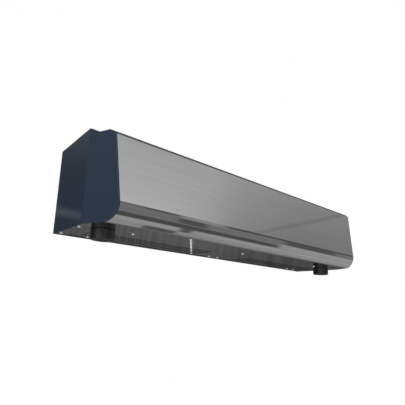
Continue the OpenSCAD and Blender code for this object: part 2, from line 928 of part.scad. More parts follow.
module motor_clamps() {
    half_w = mount_ring_w / 2;
    mid = arm_x + arm_t / 2;
    color("silver") in_place() both_ends() difference() {
        union() {
            difference() {
                on_axis(clamp_r + strap_t, mid - half_w, mid + half_w);
                translate([mid - mount_ring_w, axis_y - seat_gap, axis_z - 2 * clamp_r])
                    cube([2 * mount_ring_w, 2 * clamp_r, 4 * clamp_r]);
            }
            for (z = [axis_z - ear_out, axis_z + ear_in])
                translate([mid - half_w, axis_y - seat_gap - arm_t, z])
                    cube([mount_ring_w, arm_t, ear_out - ear_in]);
        }
        on_axis(clamp_r, mid - mount_ring_w, mid + mount_ring_w);
        motor_clamp_bores(screw_r + screw_fit);
    }
}

module motor_clamp_screws() {
    head_y = axis_y - seat_gap - arm_t;
    color("silver") in_place() both_ends()
        for (z = [axis_z - ear_mid, axis_z + ear_mid])
            translate([arm_x + arm_t / 2, head_y, z]) {
                rotate([90, 0, 0]) cylinder(r = screw_r * 1.5, h = screw_r * 1.2);
                rotate([-90, 0, 0]) cylinder(r = screw_r, h = 2 * arm_t + 2);
            }
}

// ---- Outlet panel ----

hinge_z = knuckle_r + 0.2;
hinge_xs = [-hinge_x, 0, hinge_x];
knuckle_gap = 0.5;
knuckle_l = (hinge_l - 2 * knuckle_gap) / 3;
leaf_w = 12;
hinge_screw_dx = 22;
hinge_screw_y = panel_rear - 6.5;

module service_panel() {
    color("dimgray") in_place() difference() {
        translate([-panel_x, panel_front, 0]) cube([2 * panel_x, panel_rear - panel_front, sheet_t]);
        for (side = [0, 1]) mirror([side, 0, 0])
            translate([outlet_x, outlet_y - outlet_w, -1]) cube([outlet_l, outlet_w, sheet_t + 2]);
        for (x = [-knob_x, knob_x]) drill(x, knob_y, 0, stud_r + run_fit);
        for (x = hinge_xs, dx = [-hinge_screw_dx, hinge_screw_dx])
            drill(x + dx, hinge_screw_y, 0, screw_r + screw_fit);
    }
}

// A slotted plate laid over the outlet opening from inside.
module outlet_grille_shape() {
    lap = 3;
    step = grille_slot_l + grille_bar;
    cols = floor((outlet_l + grille_bar) / step);
    rows = floor((outlet_w - grille_pitch) / grille_pitch) + 1;
    mid = [outlet_x + outlet_l / 2, outlet_y - outlet_w / 2];
    color("dimgray") translate([0, 0, sheet_t]) linear_extrude(grille_t) difference() {
        translate([outlet_x - lap, outlet_y - outlet_w - lap]) square([outlet_l + 2 * lap, outlet_w + 2 * lap]);
        for (c = [0 : cols - 1], r = [0 : rows - 1])
            translate(mid + [(c - (cols - 1) / 2) * step, (r - (rows - 1) / 2) * grille_pitch])
                square([grille_slot_l, grille_slot_w], center = true);
    }
}

module outlet_grille_left() {
    in_place() handed(-1) outlet_grille_shape();
}

module outlet_grille_right() {
    in_place() outlet_grille_shape();
}

// Knuckle number i of the hinge at x, from its left end.
module knuckle(x, i) {
    translate([x - hinge_l / 2 + i * (knuckle_l + knuckle_gap), hinge_y, hinge_z])
        rotate([0, 90, 0]) cylinder(r = knuckle_r, h = knuckle_l);
}

module pin_bore(x) {
    translate([x - hinge_l / 2 - 1, hinge_y, hinge_z]) rotate([0, 90, 0])
        cylinder(r = pin_r + run_fit, h = hinge_l + 2);
}

// The leaf under the back panel's lower flange, joined to the two outer knuckles.
module hinge_fixed_leaves() {
    color("silver") in_place() for (x = hinge_xs) difference() {
        union() {
            knuckle(x, 0);
            knuckle(x, 2);
            translate([x - hinge_l / 2, hinge_y + edge_gap, sheet_t])
                cube([hinge_l, leaf_w, leaf_t]);
            for (i = [0, 2])
                translate([x - hinge_l / 2 + i * (knuckle_l + knuckle_gap), hinge_y, sheet_t])
                    cube([knuckle_l, edge_gap + 1, leaf_t]);
        }
        pin_bore(x);
    }
}

module hinge_moving_leaves() {
    color("silver") in_place() for (x = hinge_xs) difference() {
        union() {
            knuckle(x, 1);
            translate([x - hinge_l / 2, panel_rear - leaf_w, sheet_t]) cube([hinge_l, leaf_w, leaf_t]);
            translate([x - knuckle_l / 2, panel_rear - 1, sheet_t])
                cube([knuckle_l, edge_gap + 1, leaf_t]);
        }
        pin_bore(x);
        for (dx = [-hinge_screw_dx, hinge_screw_dx])
            drill(x + dx, hinge_screw_y, 0, screw_r + screw_fit);
    }
}

module hinge_pins() {
    color("silver") in_place() for (x = hinge_xs)
        translate([x - hinge_l / 2 - 1.5, hinge_y, hinge_z]) rotate([0, 90, 0]) {
            cylinder(r = pin_r, h = hinge_l + 3);
            cylinder(r = pin_r + 0.9, h = 1.2);
        }
}

module hinge_screws() {
    color("white") in_place() for (x = hinge_xs, dx = [-hinge_screw_dx, hinge_screw_dx])
        screw_up(x + dx, hinge_screw_y, 0, 6);
}

// ---- Knobs ----

knob_top = -0.5;
knob_chamfer = 1.5;
stud_depth = 16;
bar_z = flange_top + 0.5;
bar_h = 4;

module knob_shape() {
    color("black") translate([knob_x, knob_y, knob_top - knob_h]) difference() {
        union() {
            cylinder(r1 = knob_r - 1 - knob_chamfer, r2 = knob_r - 1, h = knob_chamfer);
            translate([0, 0, knob_chamfer])
                cylinder(r1 = knob_r - 1, r2 = knob_r, h = knob_h - knob_chamfer);
        }
        translate([0, 0, knob_h - stud_depth]) cylinder(r = stud_r + run_fit, h = stud_depth + 1);
        translate([0, 0, -1]) cylinder(r = knob_r / 3, h = 2.5);
    }
}

module knob_left() {
    in_place() handed(-1) knob_shape();
}

module knob_right() {
    in_place() knob_shape();
}

// The stud with its collar above the panel and the crossbar that turns over the flange.
module latch_stud_shape() {
    color("silver") translate([knob_x, knob_y, 0]) {
        translate([0, 0, knob_top - stud_depth + 0.5])
            cylinder(r = stud_r, h = bar_z + bar_h - knob_top + stud_depth - 0.5);
        translate([0, 0, sheet_t + seat_gap]) cylinder(r = stud_r * 1.6, h = sheet_t);
        translate([-crossbar_l / 2, -crossbar_w / 2, bar_z]) cube([crossbar_l, crossbar_w, bar_h]);
    }
}

module latch_stud_left() {
    in_place() handed(-1) latch_stud_shape();
}

module latch_stud_right() {
    in_place() latch_stud_shape();
}

// ---- Electrics ----

box_t = 1.5;
box_front = part_y - seat_gap - box_d;
cable_x = 40;
cable_turn = 14;
cable_y = part_y - 20;
grommet_r = cable_r + 5;

module control_box() {
    color("silver") in_place() difference() {
        translate([box_x, box_front, box_z]) cube([box_l, box_d, box_h]);
        translate([box_x + box_t, box_front - 1, box_z + box_t])
            cube([box_l - 2 * box_t, box_d - box_t + 1, box_h - 2 * box_t]);
        translate([box_x - 5, cable_y, axis_z]) rotate([0, 90, 0])
            cylinder(r = cable_r + seat_gap, h = 20);
    }
}

module control_lid() {
    color("silver") in_place() translate([box_x, box_front - box_t, box_z]) cube([box_l, box_t, box_h]);
}

module terminal_block() {
    width = 66;
    depth = 20;
    floor_y = part_y - seat_gap - box_t;
    color("ivory") in_place() translate([box_end - width - 12, floor_y - depth, box_z + 20]) difference() {
        cube([width, depth, 24]);
        for (i = [0 : 5]) translate([6 + i * 11, -1, 12]) rotate([-90, 0, 0]) cylinder(r = 3, h = 7);
    }
}

module capacitor() {
    can_r = 16;
    floor_y = part_y - seat_gap - box_t;
    color("whitesmoke") in_place()
        translate([box_x + 40, floor_y - can_r, box_z + box_h - can_r - 12]) rotate([0, 90, 0]) {
            cylinder(r = can_r, h = 70);
            translate([0, 0, 70]) cylinder(r = can_r - 5, h = 6);
        }
}

// The motor's lead, from the right end bell through the partition to the control box.
module motor_cable() {
    start_y = axis_y - motor_r - 0.2;
    color("dimgray") in_place() translate([0, 0, axis_z]) {
        translate([cable_x, start_y, 0]) rotate([90, 0, 0])
            cylinder(r = cable_r, h = start_y - cable_y - cable_turn);
        translate([cable_x + cable_turn, cable_y + cable_turn, 0]) rotate([0, 0, 180])
            rotate_extrude(angle = 90) translate([cable_turn, 0]) circle(cable_r);
        translate([cable_x + cable_turn, cable_y, 0]) rotate([0, 90, 0])
            cylinder(r = cable_r, h = box_x + 6 - cable_x - cable_turn);
    }
}

module cable_grommet() {
    color("black") in_place() translate([cable_x, part_rear + 2, axis_z]) rotate([90, 0, 0])
        difference() {
            union() {
                cylinder(r = grommet_r, h = 2 - seat_gap / 2);
                cylinder(r = grommet_r - 2 - seat_gap / 2, h = sheet_t + 4);
                translate([0, 0, sheet_t + 2 + seat_gap / 2]) cylinder(r = grommet_r, h = 2 - seat_gap / 2);
            }
            translate([0, 0, -1]) cylinder(r = cable_r + 0.1, h = 20);
        }
}

wall_plate();
wall_lock_screws();
back_panel();
top_cover();
top_cover_screws();
end_cap_left();
end_cap_right();
end_cap_screws();
front_cover();
front_cover_screws();
front_partition();
bulkhead_left();
bulkhead_right();
inner_bulkhead_left();
inner_bulkhead_right();
bottom_strip_left();
bottom_strip_right();
hanging_nuts();
cable_gland();
gland_nut();
gland_locknut();
scroll_left();
scroll_right();
tongue_left();
tongue_right();
impeller_left();
impeller_right();
hub_rubbers();
hub_bushes();
motor_shaft();
rotor_core();
stator_core();
stator_windings();
motor_bell_left();
motor_bell_right();
motor_bearings();
motor_rubber_rings();
motor_bracket();
motor_clamps();
motor_clamp_screws();
axle_bearings();
bearing_rubbers();
bearing_housings();
service_panel();
outlet_grille_left();
outlet_grille_right();
hinge_fixed_leaves();
hinge_moving_leaves();
hinge_pins();
hinge_screws();
knob_left();
knob_right();
latch_stud_left();
latch_stud_right();
control_box();
control_lid();
terminal_block();
capacitor();
motor_cable();
cable_grommet();
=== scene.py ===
import json
import math
from contextlib import contextmanager

import bmesh
import bpy
from mathutils import Matrix, Vector


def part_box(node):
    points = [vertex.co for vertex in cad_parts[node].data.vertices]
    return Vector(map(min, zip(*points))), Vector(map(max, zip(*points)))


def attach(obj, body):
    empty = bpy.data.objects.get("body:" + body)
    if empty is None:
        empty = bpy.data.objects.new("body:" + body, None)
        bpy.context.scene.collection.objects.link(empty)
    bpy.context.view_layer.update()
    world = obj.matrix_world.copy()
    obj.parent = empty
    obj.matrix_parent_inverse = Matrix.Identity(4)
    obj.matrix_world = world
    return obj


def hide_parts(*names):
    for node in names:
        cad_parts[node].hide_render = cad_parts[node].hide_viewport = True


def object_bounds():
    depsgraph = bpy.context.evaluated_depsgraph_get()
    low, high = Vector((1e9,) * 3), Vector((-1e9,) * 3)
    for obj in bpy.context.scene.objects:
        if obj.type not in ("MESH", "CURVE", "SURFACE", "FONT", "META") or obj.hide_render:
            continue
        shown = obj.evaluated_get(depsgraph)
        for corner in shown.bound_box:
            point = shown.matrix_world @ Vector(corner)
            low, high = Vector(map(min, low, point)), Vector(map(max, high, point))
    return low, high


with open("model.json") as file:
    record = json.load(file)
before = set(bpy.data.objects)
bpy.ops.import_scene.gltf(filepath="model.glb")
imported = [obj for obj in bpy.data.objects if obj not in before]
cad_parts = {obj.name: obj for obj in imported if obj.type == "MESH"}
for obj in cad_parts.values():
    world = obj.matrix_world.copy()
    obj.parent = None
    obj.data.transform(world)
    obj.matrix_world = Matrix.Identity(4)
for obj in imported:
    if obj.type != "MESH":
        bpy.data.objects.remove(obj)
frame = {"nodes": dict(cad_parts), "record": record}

cad_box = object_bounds()
MM = 0.001


# The wall plate: a galvanised steel plate bolted to the wall, with two hooks folded out
# of its top edge. The partition, bulkheads, scrolls and boxes inside are the same sheet.
class Wire:
    """An output of a node, which can be used in plain arithmetic."""

    def __init__(self, finish, socket):
        self.finish = finish
        self.socket = socket

    def worked(self, operation, first, second):
        return self.finish.node("Math", {"operation": operation}, {0: first, 1: second})

    def __add__(self, other):
        return self.worked("ADD", self, other)

    def __sub__(self, other):
        return self.worked("SUBTRACT", self, other)

    def __rsub__(self, other):
        return self.worked("SUBTRACT", other, self)

    def __mul__(self, other):
        return self.worked("MULTIPLY", self, other)

    def __truediv__(self, other):
        return self.worked("DIVIDE", self, other)

    __radd__ = __add__
    __rmul__ = __mul__


class Finish:
    """A material or a world, built one node at a time."""

    def __init__(self, name, owner=None):
        self.owner = owner or bpy.data.materials.new(name)
        self.owner.use_nodes = True
        self.tree = self.owner.node_tree
        self.tree.nodes.clear()

    def node(self, kind, settings=None, sockets=None, output=0):
        """Adds a node: its settings first, then the values or wires of its sockets."""
        node = self.tree.nodes.new("ShaderNode" + kind)
        for name, value in (settings or {}).items():
            if name == "stops":
                self.set_stops(node.color_ramp, value)
            else:
                setattr(node, name, value)
        for name, value in (sockets or {}).items():
            if not isinstance(name, int):
                name = [name in (s.identifier, s.name) for s in node.inputs].index(True)
            if isinstance(value, Wire):
                self.tree.links.new(value.socket, node.inputs[name])
            else:
                node.inputs[name].default_value = value
        return Wire(self, node.outputs[output]) if node.outputs else node

    def set_stops(self, ramp, stops):
        """The places and the levels of grey of a ramp, in order."""
        while len(ramp.elements) < len(stops):
            ramp.elements.new(0.5)
        for element, (place, level) in zip(ramp.elements, stops):
            element.position = place
            element.color = (level, level, level, 1)

    def place(self):
        """Where a point of the surface lies, in metres."""
        return self.node("TexCoord", output="Object")

    def noise(self, stretch, detail=2, roughness=0.5):
        """Noise from 0 to 1, with so many waves a metre along X, Y and Z."""
        spot = self.node("Mapping", None, {"Vector": self.place(), "Scale": stretch})
        sockets = {"Vector": spot, "Scale": 1.0, "Detail": detail, "Roughness": roughness}
        return self.node("TexNoise", None, sockets)

    def ramp(self, wire, low, high, start=0.0, end=1.0):
        """Carries low..high of a wire over to start..end, and holds it there."""
        sockets = {"Value": wire, "From Min": low, "From Max": high, "To Min": start, "To Max": end}
        return self.node("MapRange", None, sockets)

    def mixed(self, first, second, factor):
        """A colour between two, by a wire that runs from 0 to 1."""
        sockets = {"A_Color": first, "B_Color": second, "Factor_Float": factor}
        return self.node("Mix", {"data_type": "RGBA"}, sockets, output=2)

    def bump(self, height, depth, strength):
        """Small relief, so many metres deep where height is 1."""
        return self.node("Bump", None, {"Height": height, "Distance": depth, "Strength": strength})

    def surface(self, sockets):
        """Closes the material with its one shader, and gives it back."""
        shader = self.node("BsdfPrincipled", None, sockets)
        self.node("OutputMaterial", None, {"Surface": shader})
        return self.owner


def grey(level, blue=0.0):
    """A grey in linear light, a little cooler by blue."""
    return (level - blue / 2, level, level + blue, 1)


def coat_nodes(slot, material):
    """Gives a material to the nodes of the frame that the record puts in this slot."""
    for part in frame["record"]["subparts"]:
        if part["material_slot"] == slot:
            for place in frame["nodes"][part["node"]].material_slots:
                place.material = material


FLAKES_PER_M = 85.0


def galvanised():
    """Zinc: flakes of about 12 mm, each with its own grey and gloss, and faint rolling marks."""
    zinc = Finish("galvanised_sheet")
    flakes = zinc.node(
        "TexVoronoi", None, {"Vector": zinc.place(), "Scale": FLAKES_PER_M}, output="Color"
    )
    flake = zinc.node("SeparateColor", None, {"Color": flakes})
    rolled = zinc.noise((4, 160, 160), detail=3)
    return zinc.surface({
        "Base Color": zinc.mixed(grey(0.38, 0.012), grey(0.55, 0.02), flake * 0.7 + rolled * 0.3),
        "Metallic": 1.0,
        "Roughness": 0.34 + flake * 0.12,
        "Normal": zinc.bump(rolled, 0.15 * MM, 0.4),
    })


coat_nodes("galvanised_sheet", galvanised())


# The back panel and the top cover: steel sheet folded along X and powder coated slate
# blue. The cover has rows of intake slots, a slope and a bevelled front edge.
def powder_coat():
    """A matt coat with the fine orange peel that powder leaves."""
    coat = Finish("slate_powder_coat")
    cloud = coat.noise((5, 5, 5), detail=3)
    peel = coat.noise((900, 900, 900), detail=1)
    return coat.surface({
        "Base Color": coat.mixed((0.013, 0.018, 0.024, 1), (0.019, 0.026, 0.034, 1), cloud),
        "Roughness": 0.40 + cloud * 0.12,
        "Specular IOR Level": 0.28,
        "Normal": coat.bump(peel, 0.05 * MM, 0.5),
    })


slate_coat = powder_coat()
coat_nodes("painted_sheet", slate_coat)


def start(name, add, scale=(1, 1, 1), **where):
    """Adds a primitive with nothing else selected, and puts its place into its mesh."""
    bpy.ops.object.select_all(action="DESELECT")
    add(**where)
    piece = bpy.context.object
    piece.name = piece.data.name = name
    piece.scale = scale
    bpy.ops.object.transform_apply(location=True, rotation=True, scale=True)
    return piece


def choose(piece):
    """Makes one piece the only one selected."""
    bpy.ops.object.select_all(action="DESELECT")
    bpy.context.view_layer.objects.active = piece
    piece.select_set(True)


# How near counts as there when edges and faces are picked, loosely or on a line, and how
# near two corners are merged. A bend is made in so many steps.
CLOSE, ON_LINE, MERGE = 0.1 * MM, 0.02 * MM, 0.01 * MM
BEND_STEPS = 32


@contextmanager
def shaping(piece):
    """Edit mode on one piece, with all of it selected at first."""
    choose(piece)
    bpy.ops.object.mode_set(mode="EDIT")
    bpy.ops.mesh.select_mode(type="FACE")
    bpy.ops.mesh.select_all(action="SELECT")
    yield
    bpy.ops.object.mode_set(mode="OBJECT")


def pick(piece, kind, wanted):
    """Selects, in edit mode, each VERT, EDGE or FACE that the test wants, and no others."""
    bpy.ops.mesh.select_mode(type=kind)
    bpy.ops.mesh.select_all(action="DESELECT")
    shape = bmesh.from_edit_mesh(piece.data)
    shape.normal_update()
    for element in getattr(shape, kind.lower() + "s"):
        if wanted(element):
            element.select_set(True)
    bmesh.update_edit_mesh(piece.data)


def middle(element):
    """The middle of an edge or a face."""
    return sum((v.co for v in element.verts), Vector()) / len(element.verts)


def on_line(edge, y, z):
    """Whether an edge runs along X at this y and z."""
    return all(math.hypot(v.co.y - y, v.co.z - z) < ON_LINE for v in edge.verts)


def modify(piece, kind, **settings):
    """Adds a modifier and applies it."""
    choose(piece)
    modifier = piece.modifiers.new(kind.lower(), kind)
    for name, value in settings.items():
        setattr(modifier, name, value)
    bpy.ops.object.modifier_apply(modifier=modifier.name)


def repeat(piece, *rows):
    """Repeats a piece by each (count, step) in turn."""
    for count, step in rows:
        modify(
            piece, "ARRAY", count=count, use_relative_offset=False, use_constant_offset=True,
            constant_offset_displace=step,
        )


def smooth(piece, degrees=35):
    """Shades curves smooth and folds sharp, and keeps the large faces flat."""
    choose(piece)
    bpy.ops.object.shade_smooth_by_angle(angle=math.radians(degrees))
    modify(piece, "WEIGHTED_NORMAL", weight=100, keep_sharp=True)


def folded_sheet(name, half_l, begin_y, begin_z, legs, fold_r):
    """A sheet along X, folded along its legs from a level first one. A leg is a run of
    (y, z), or a bend of (degrees, centre y, centre z). The corners get a radius."""
    y, z = begin_y + legs[0][0], begin_z
    sheet = start(
        name, bpy.ops.mesh.primitive_plane_add, size=1,
        location=(0, (begin_y + y) / 2, z), scale=(2 * half_l, abs(y - begin_y), 1),
    )
    corners = []
    with shaping(sheet):
        for before, leg in zip(legs, legs[1:]):
            pick(sheet, "EDGE", lambda edge: on_line(edge, y, z))
            if len(leg) == 2:
                if len(before) == 2:
                    corners.append((y, z))
                bpy.ops.mesh.extrude_edges_move(
                    TRANSFORM_OT_translate={"value": (0, leg[0], leg[1])}
                )
                y, z = y + leg[0], z + leg[1]
            else:
                degrees, centre_y, centre_z = leg
                bpy.ops.mesh.spin(
                    steps=BEND_STEPS, angle=math.radians(degrees),
                    center=(0, centre_y, centre_z), axis=(1, 0, 0),
                )
                arm = Vector((0, y - centre_y, z - centre_z))
                arm.rotate(Matrix.Rotation(math.radians(-degrees), 3, "X"))
                y, z = centre_y + arm.y, centre_z + arm.z
        pick(sheet, "EDGE", lambda edge: any(on_line(edge, *corner) for corner in corners))
        bpy.ops.mesh.bevel(offset=fold_r, segments=4, affect="EDGES")
        bpy.ops.mesh.select_all(action="SELECT")
        bpy.ops.mesh.remove_doubles(threshold=MERGE)
        bpy.ops.mesh.normals_make_consistent(inside=False)
    return sheet


# The caps' fold, the angle that it turns them in by, their wall, and the gap to a sheet.
FOLD_Y = -215 * MM
FLARE = math.radians(23)
CAP_T = 3 * MM
SEAT = 0.3 * MM
half_l = cad_box[1][0]


def trim_ends(sheet, gap, wanted=lambda face: True):
    """Cuts both ends, square back to the fold and turned in ahead of it, inside the caps."""
    with shaping(sheet):
        for side in (-1, 1):
            outwards = Vector((side * math.cos(FLARE), -math.sin(FLARE), 0))
            corner = Vector((side * half_l, FOLD_Y, 0)) - outwards * gap
            pick(sheet, "FACE", wanted)
            bpy.ops.mesh.bisect(plane_co=corner, plane_no=outwards, clear_outer=True)
            pick(sheet, "FACE", wanted)
            bpy.ops.mesh.bisect(
                plane_co=(side * (half_l - gap), 0, 0), plane_no=(side, 0, 0), clear_outer=True
            )


def turn_outwards(sheet, point, outwards):
    """Turns a sheet over where the face nearest to a point looks the wrong way."""
    nearest = min(sheet.data.polygons, key=lambda face: (face.center - Vector(point)).length)
    if nearest.normal.dot(Vector(outwards)) < 0:
        with shaping(sheet):
            bpy.ops.mesh.flip_normals()


def cut_out(piece, tool):
    """Cuts a tool's shape out of a piece, and takes the tool away."""
    modify(piece, "BOOLEAN", operation="DIFFERENCE", solver="EXACT", object=tool)
    bpy.data.objects.remove(tool)


def round_corners(block, radius):
    """Rounds the four upright edges of a block."""
    with shaping(block):
        pick(block, "EDGE", lambda edge: abs(edge.verts[0].co.z - edge.verts[1].co.z) > CLOSE)
        bpy.ops.mesh.bevel(offset=radius, segments=5, affect="EDGES")


def dress(piece, body, slot, material, *nodes):
    """Gives a piece its finish, its body and the nodes of the frame that it stands for."""
    piece.data.materials.clear()
    piece.data.materials.append(material)
    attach(piece, body)
    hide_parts(*nodes)


# The cover's slope drops to a hood, whose front edge is bevelled and has a lip under it.
# The lips of both covers stop LIP_GAP short of the sheets' ends.
SHEET_T = 1.5 * MM
HOOD_DROP, HOOD_RUN, HOOD_LIP = 16 * MM, 23 * MM, 12 * MM
BEVEL_H, BEVEL_RUN = 14 * MM, 18 * MM
COVER_FOLD_R = 1.8 * MM
LIP_GAP = 16 * MM
cover_low, cover_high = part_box("top_cover")
roof_z = cover_high.z
slope_foot_y = FOLD_Y - HOOD_RUN
hood_z = roof_z - HOOD_DROP
top_cover = folded_sheet(
    "intake_cover", half_l, cover_high.y, roof_z,
    [
        (FOLD_Y - cover_high.y, 0), (-HOOD_RUN, -HOOD_DROP),
        (cover_low.y + BEVEL_RUN - slope_foot_y, 0), (-BEVEL_RUN, -BEVEL_H), (HOOD_LIP, 0),
    ],
    COVER_FOLD_R,
)
trim_ends(top_cover, CAP_T + SEAT)
trim_ends(top_cover, CAP_T + LIP_GAP, lambda face: middle(face).z < hood_z - BEVEL_H + CLOSE)
turn_outwards(top_cover, (0, FOLD_Y / 2, roof_z), (0, 0, 1))
modify(top_cover, "SOLIDIFY", thickness=SHEET_T, offset=-1, use_even_offset=True)

# Each side has three fields of nine intake slots, with their middle at SLOTS_X.
SLOT_L, SLOT_W, SLOT_END_R = 130 * MM, 5 * MM, 2.45 * MM
SLOT_FIELDS, SLOT_GAP = 3, 10 * MM
SLOT_ROWS, SLOT_PITCH = 9, 10 * MM
SLOTS_X, FIRST_SLOT_Y = 323.1 * MM, -156 * MM
PUNCH_H, BORE_SIDES = 10 * MM, 32
for side in (-1, 1):
    slot = start(
        "slot_tool", bpy.ops.mesh.primitive_cube_add, size=1,
        location=(side * SLOTS_X - SLOT_L - SLOT_GAP, FIRST_SLOT_Y, roof_z),
        scale=(SLOT_L, SLOT_W, PUNCH_H),
    )
    round_corners(slot, SLOT_END_R)
    repeat(slot, (SLOT_FIELDS, (SLOT_L + SLOT_GAP, 0, 0)), (SLOT_ROWS, (0, SLOT_PITCH, 0)))
    cut_out(top_cover, slot)


def bore(piece, x, y, z, radius):
    """Drills an upright hole through a sheet."""
    cut_out(piece, start(
        "drill", bpy.ops.mesh.primitive_cylinder_add,
        vertices=BORE_SIDES, radius=radius, depth=2 * PUNCH_H, location=(x, y, z),
    ))


# Holes over the hanging nuts, half a nut in from their ends, and one for the gland.
NUT_HALF, NUT_ROWS, NUT_BORE_R = 6.8 * MM, (-42 * MM, -178 * MM), 4.5 * MM
GLAND_BORE_R = 10.2 * MM
nut_low, nut_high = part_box("hanging_nuts")
gland_low, gland_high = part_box("cable_gland")
gland_at = (gland_low + gland_high) / 2
for x in (nut_low.x + NUT_HALF, nut_high.x - NUT_HALF):
    for y in NUT_ROWS:
        bore(top_cover, x, y, roof_z, NUT_BORE_R)
bore(top_cover, gland_at.x, gland_at.y, roof_z, GLAND_BORE_R)
smooth(top_cover)
dress(top_cover, "casing", "painted_sheet", slate_coat, "top_cover")


# The front cover: one stainless sheet, brushed along its length. It leans back a little,
# turns under through a wide bend, and is screwed up along its rear edge underneath.
def brushed(name, level, rough):
    """Stainless with hairlines along X, broader rolling marks, and faint wipe marks."""
    steel = Finish(name)
    hair = steel.noise((5, 1500, 1500), detail=2, roughness=0.6)
    rolled = steel.noise((1.2, 70, 70), detail=2)
    wiped = steel.noise((7, 7, 7), detail=4)
    return steel.surface({
        "Base Color": steel.mixed(
            grey(level * 0.89, 0.004), grey(level * 1.09, 0.004), hair * 0.3 + rolled * 0.7
        ),
        "Metallic": 1.0,
        "Roughness": rough + hair * 0.015 + wiped * 0.02,
        "Normal": steel.bump(hair, 0.01 * MM, 0.08),
    })


LEAN = math.radians(8.4)
BEND_R = 45 * MM
FRONT_FOLD_R = 1.5 * MM
front_low, front_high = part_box("front_cover")
ground_z = front_low.z
bend_y, bend_z = front_low.y + BEND_R, ground_z + BEND_R
panel_foot = Vector((bend_y - BEND_R * math.cos(LEAN), bend_z + BEND_R * math.sin(LEAN)))
panel_rise = front_high.z - panel_foot.y
front_cover = folded_sheet(
    "bent_front_cover", half_l, front_high.y, ground_z,
    [
        (bend_y - front_high.y, 0), (90 + math.degrees(LEAN), bend_y, bend_z),
        (panel_rise * math.tan(LEAN), panel_rise), (HOOD_LIP, 0),
    ],
    FRONT_FOLD_R,
)
trim_ends(front_cover, CAP_T + SEAT)
trim_ends(front_cover, CAP_T + LIP_GAP, lambda face: middle(face).z > front_high.z - CLOSE)
turn_outwards(front_cover, (0, bend_y, ground_z), (0, 0, -1))
modify(front_cover, "SOLIDIFY", thickness=SHEET_T, offset=-1, use_even_offset=True)
smooth(front_cover)
front_steel = brushed("brushed_stainless", 0.52, 0.05)
dress(front_cover, "casing", "stainless_front", front_steel, "front_cover")


# The end caps: slate blue mouldings, 3 mm thick, flat at the rear and turned in ahead of
# a fold. A rim on the inside locates the sheets, which butt against the cap's edge.
def moulded_slate():
    """A smooth moulding: a slight cloud in its colour, a faint grain, and a clear gloss."""
    plastic = Finish("slate_plastic")
    cloud = plastic.noise((4, 4, 4), detail=2)
    grain = plastic.noise((1400, 1400, 1400), detail=1)
    return plastic.surface({
        "Base Color": plastic.mixed((0.019, 0.030, 0.054, 1), (0.024, 0.038, 0.066, 1), cloud),
        "Roughness": 0.05 + cloud * 0.03,
        "Specular IOR Level": 0.35,
        "Normal": plastic.bump(grain, 0.01 * MM, 0.1),
    })


# The rim starts behind the sheets' thickness and stops short of the back panel's flange.
RIM_SEAT, RIM_T, RIM_DEPTH, RIM_REAR = 1.8 * MM, 2.5 * MM, 15 * MM, -27 * MM
CAP_FOLD_R, CAP_EDGE_R = 2.5 * MM, 1.3 * MM
# The blank reaches this far past the slope, and so many cuts round it off at the bend.
BLANK_RUN = 110 * MM
BEND_CUTS, BEND_FIT = 20, 0.9992
# A face whose normal has this much of X looks outwards, also ahead of the fold.
SIDEWAYS = 0.8
cap = start(
    "moulded_cap_right", bpy.ops.mesh.primitive_plane_add, size=1, rotation=(0, math.pi / 2, 0),
    location=(half_l, FOLD_Y / 2, (ground_z + roof_z) / 2), scale=(roof_z - ground_z, -FOLD_Y, 1),
)
with shaping(cap):
    pick(cap, "EDGE", lambda edge: abs(middle(edge).y - FOLD_Y) < CLOSE)
    bpy.ops.mesh.extrude_edges_move(TRANSFORM_OT_translate={"value": (0, -HOOD_RUN, 0)})
    pick(cap, "VERT", lambda v: v.co.y < slope_foot_y + CLOSE and v.co.z > 0)
    bpy.ops.transform.translate(value=(0, 0, -HOOD_DROP))
    pick(cap, "EDGE", lambda edge: abs(middle(edge).y - slope_foot_y) < CLOSE)
    bpy.ops.mesh.extrude_edges_move(TRANSFORM_OT_translate={"value": (0, -BLANK_RUN, 0)})
    cuts = [
        ((half_l, cover_low.y, hood_z - BEVEL_H), (0, -BEVEL_H, BEVEL_RUN)),
        ((half_l, panel_foot.x, panel_foot.y), (0, -math.cos(LEAN), math.sin(LEAN))),
    ]
    for step in range(BEND_CUTS):
        turn = math.radians(-90) + (math.radians(90) + LEAN) * (step + 0.5) / BEND_CUTS
        away = Vector((0, -math.cos(turn), math.sin(turn)))
        cuts.append((Vector((half_l, bend_y, bend_z)) + away * BEND_R * BEND_FIT, away))
    for spot, away in cuts:
        bpy.ops.mesh.select_all(action="SELECT")
        bpy.ops.mesh.bisect(plane_co=spot, plane_no=away, clear_outer=True)
    bpy.ops.mesh.select_all(action="SELECT")
    bpy.ops.mesh.bisect(plane_co=(half_l, RIM_REAR, 0), plane_no=(0, 1, 0))
    pick(cap, "VERT", lambda v: v.co.y < FOLD_Y - CLOSE)
    hinge_line = (half_l, FOLD_Y, 0)
    bpy.ops.transform.resize(value=(1, 1 / math.cos(FLARE), 1), center_override=hinge_line)
    bpy.ops.transform.rotate(value=FLARE, orient_axis="Z", center_override=hinge_line)
    pick(cap, "EDGE", lambda edge: all(abs(v.co.y - FOLD_Y) < CLOSE for v in edge.verts))
    bpy.ops.mesh.bevel(offset=CAP_FOLD_R, segments=4, affect="EDGES")
turn_outwards(cap, (half_l, FOLD_Y / 2, 0), (1, 0, 0))
modify(cap, "SOLIDIFY", thickness=CAP_T, offset=-1, use_even_offset=True)
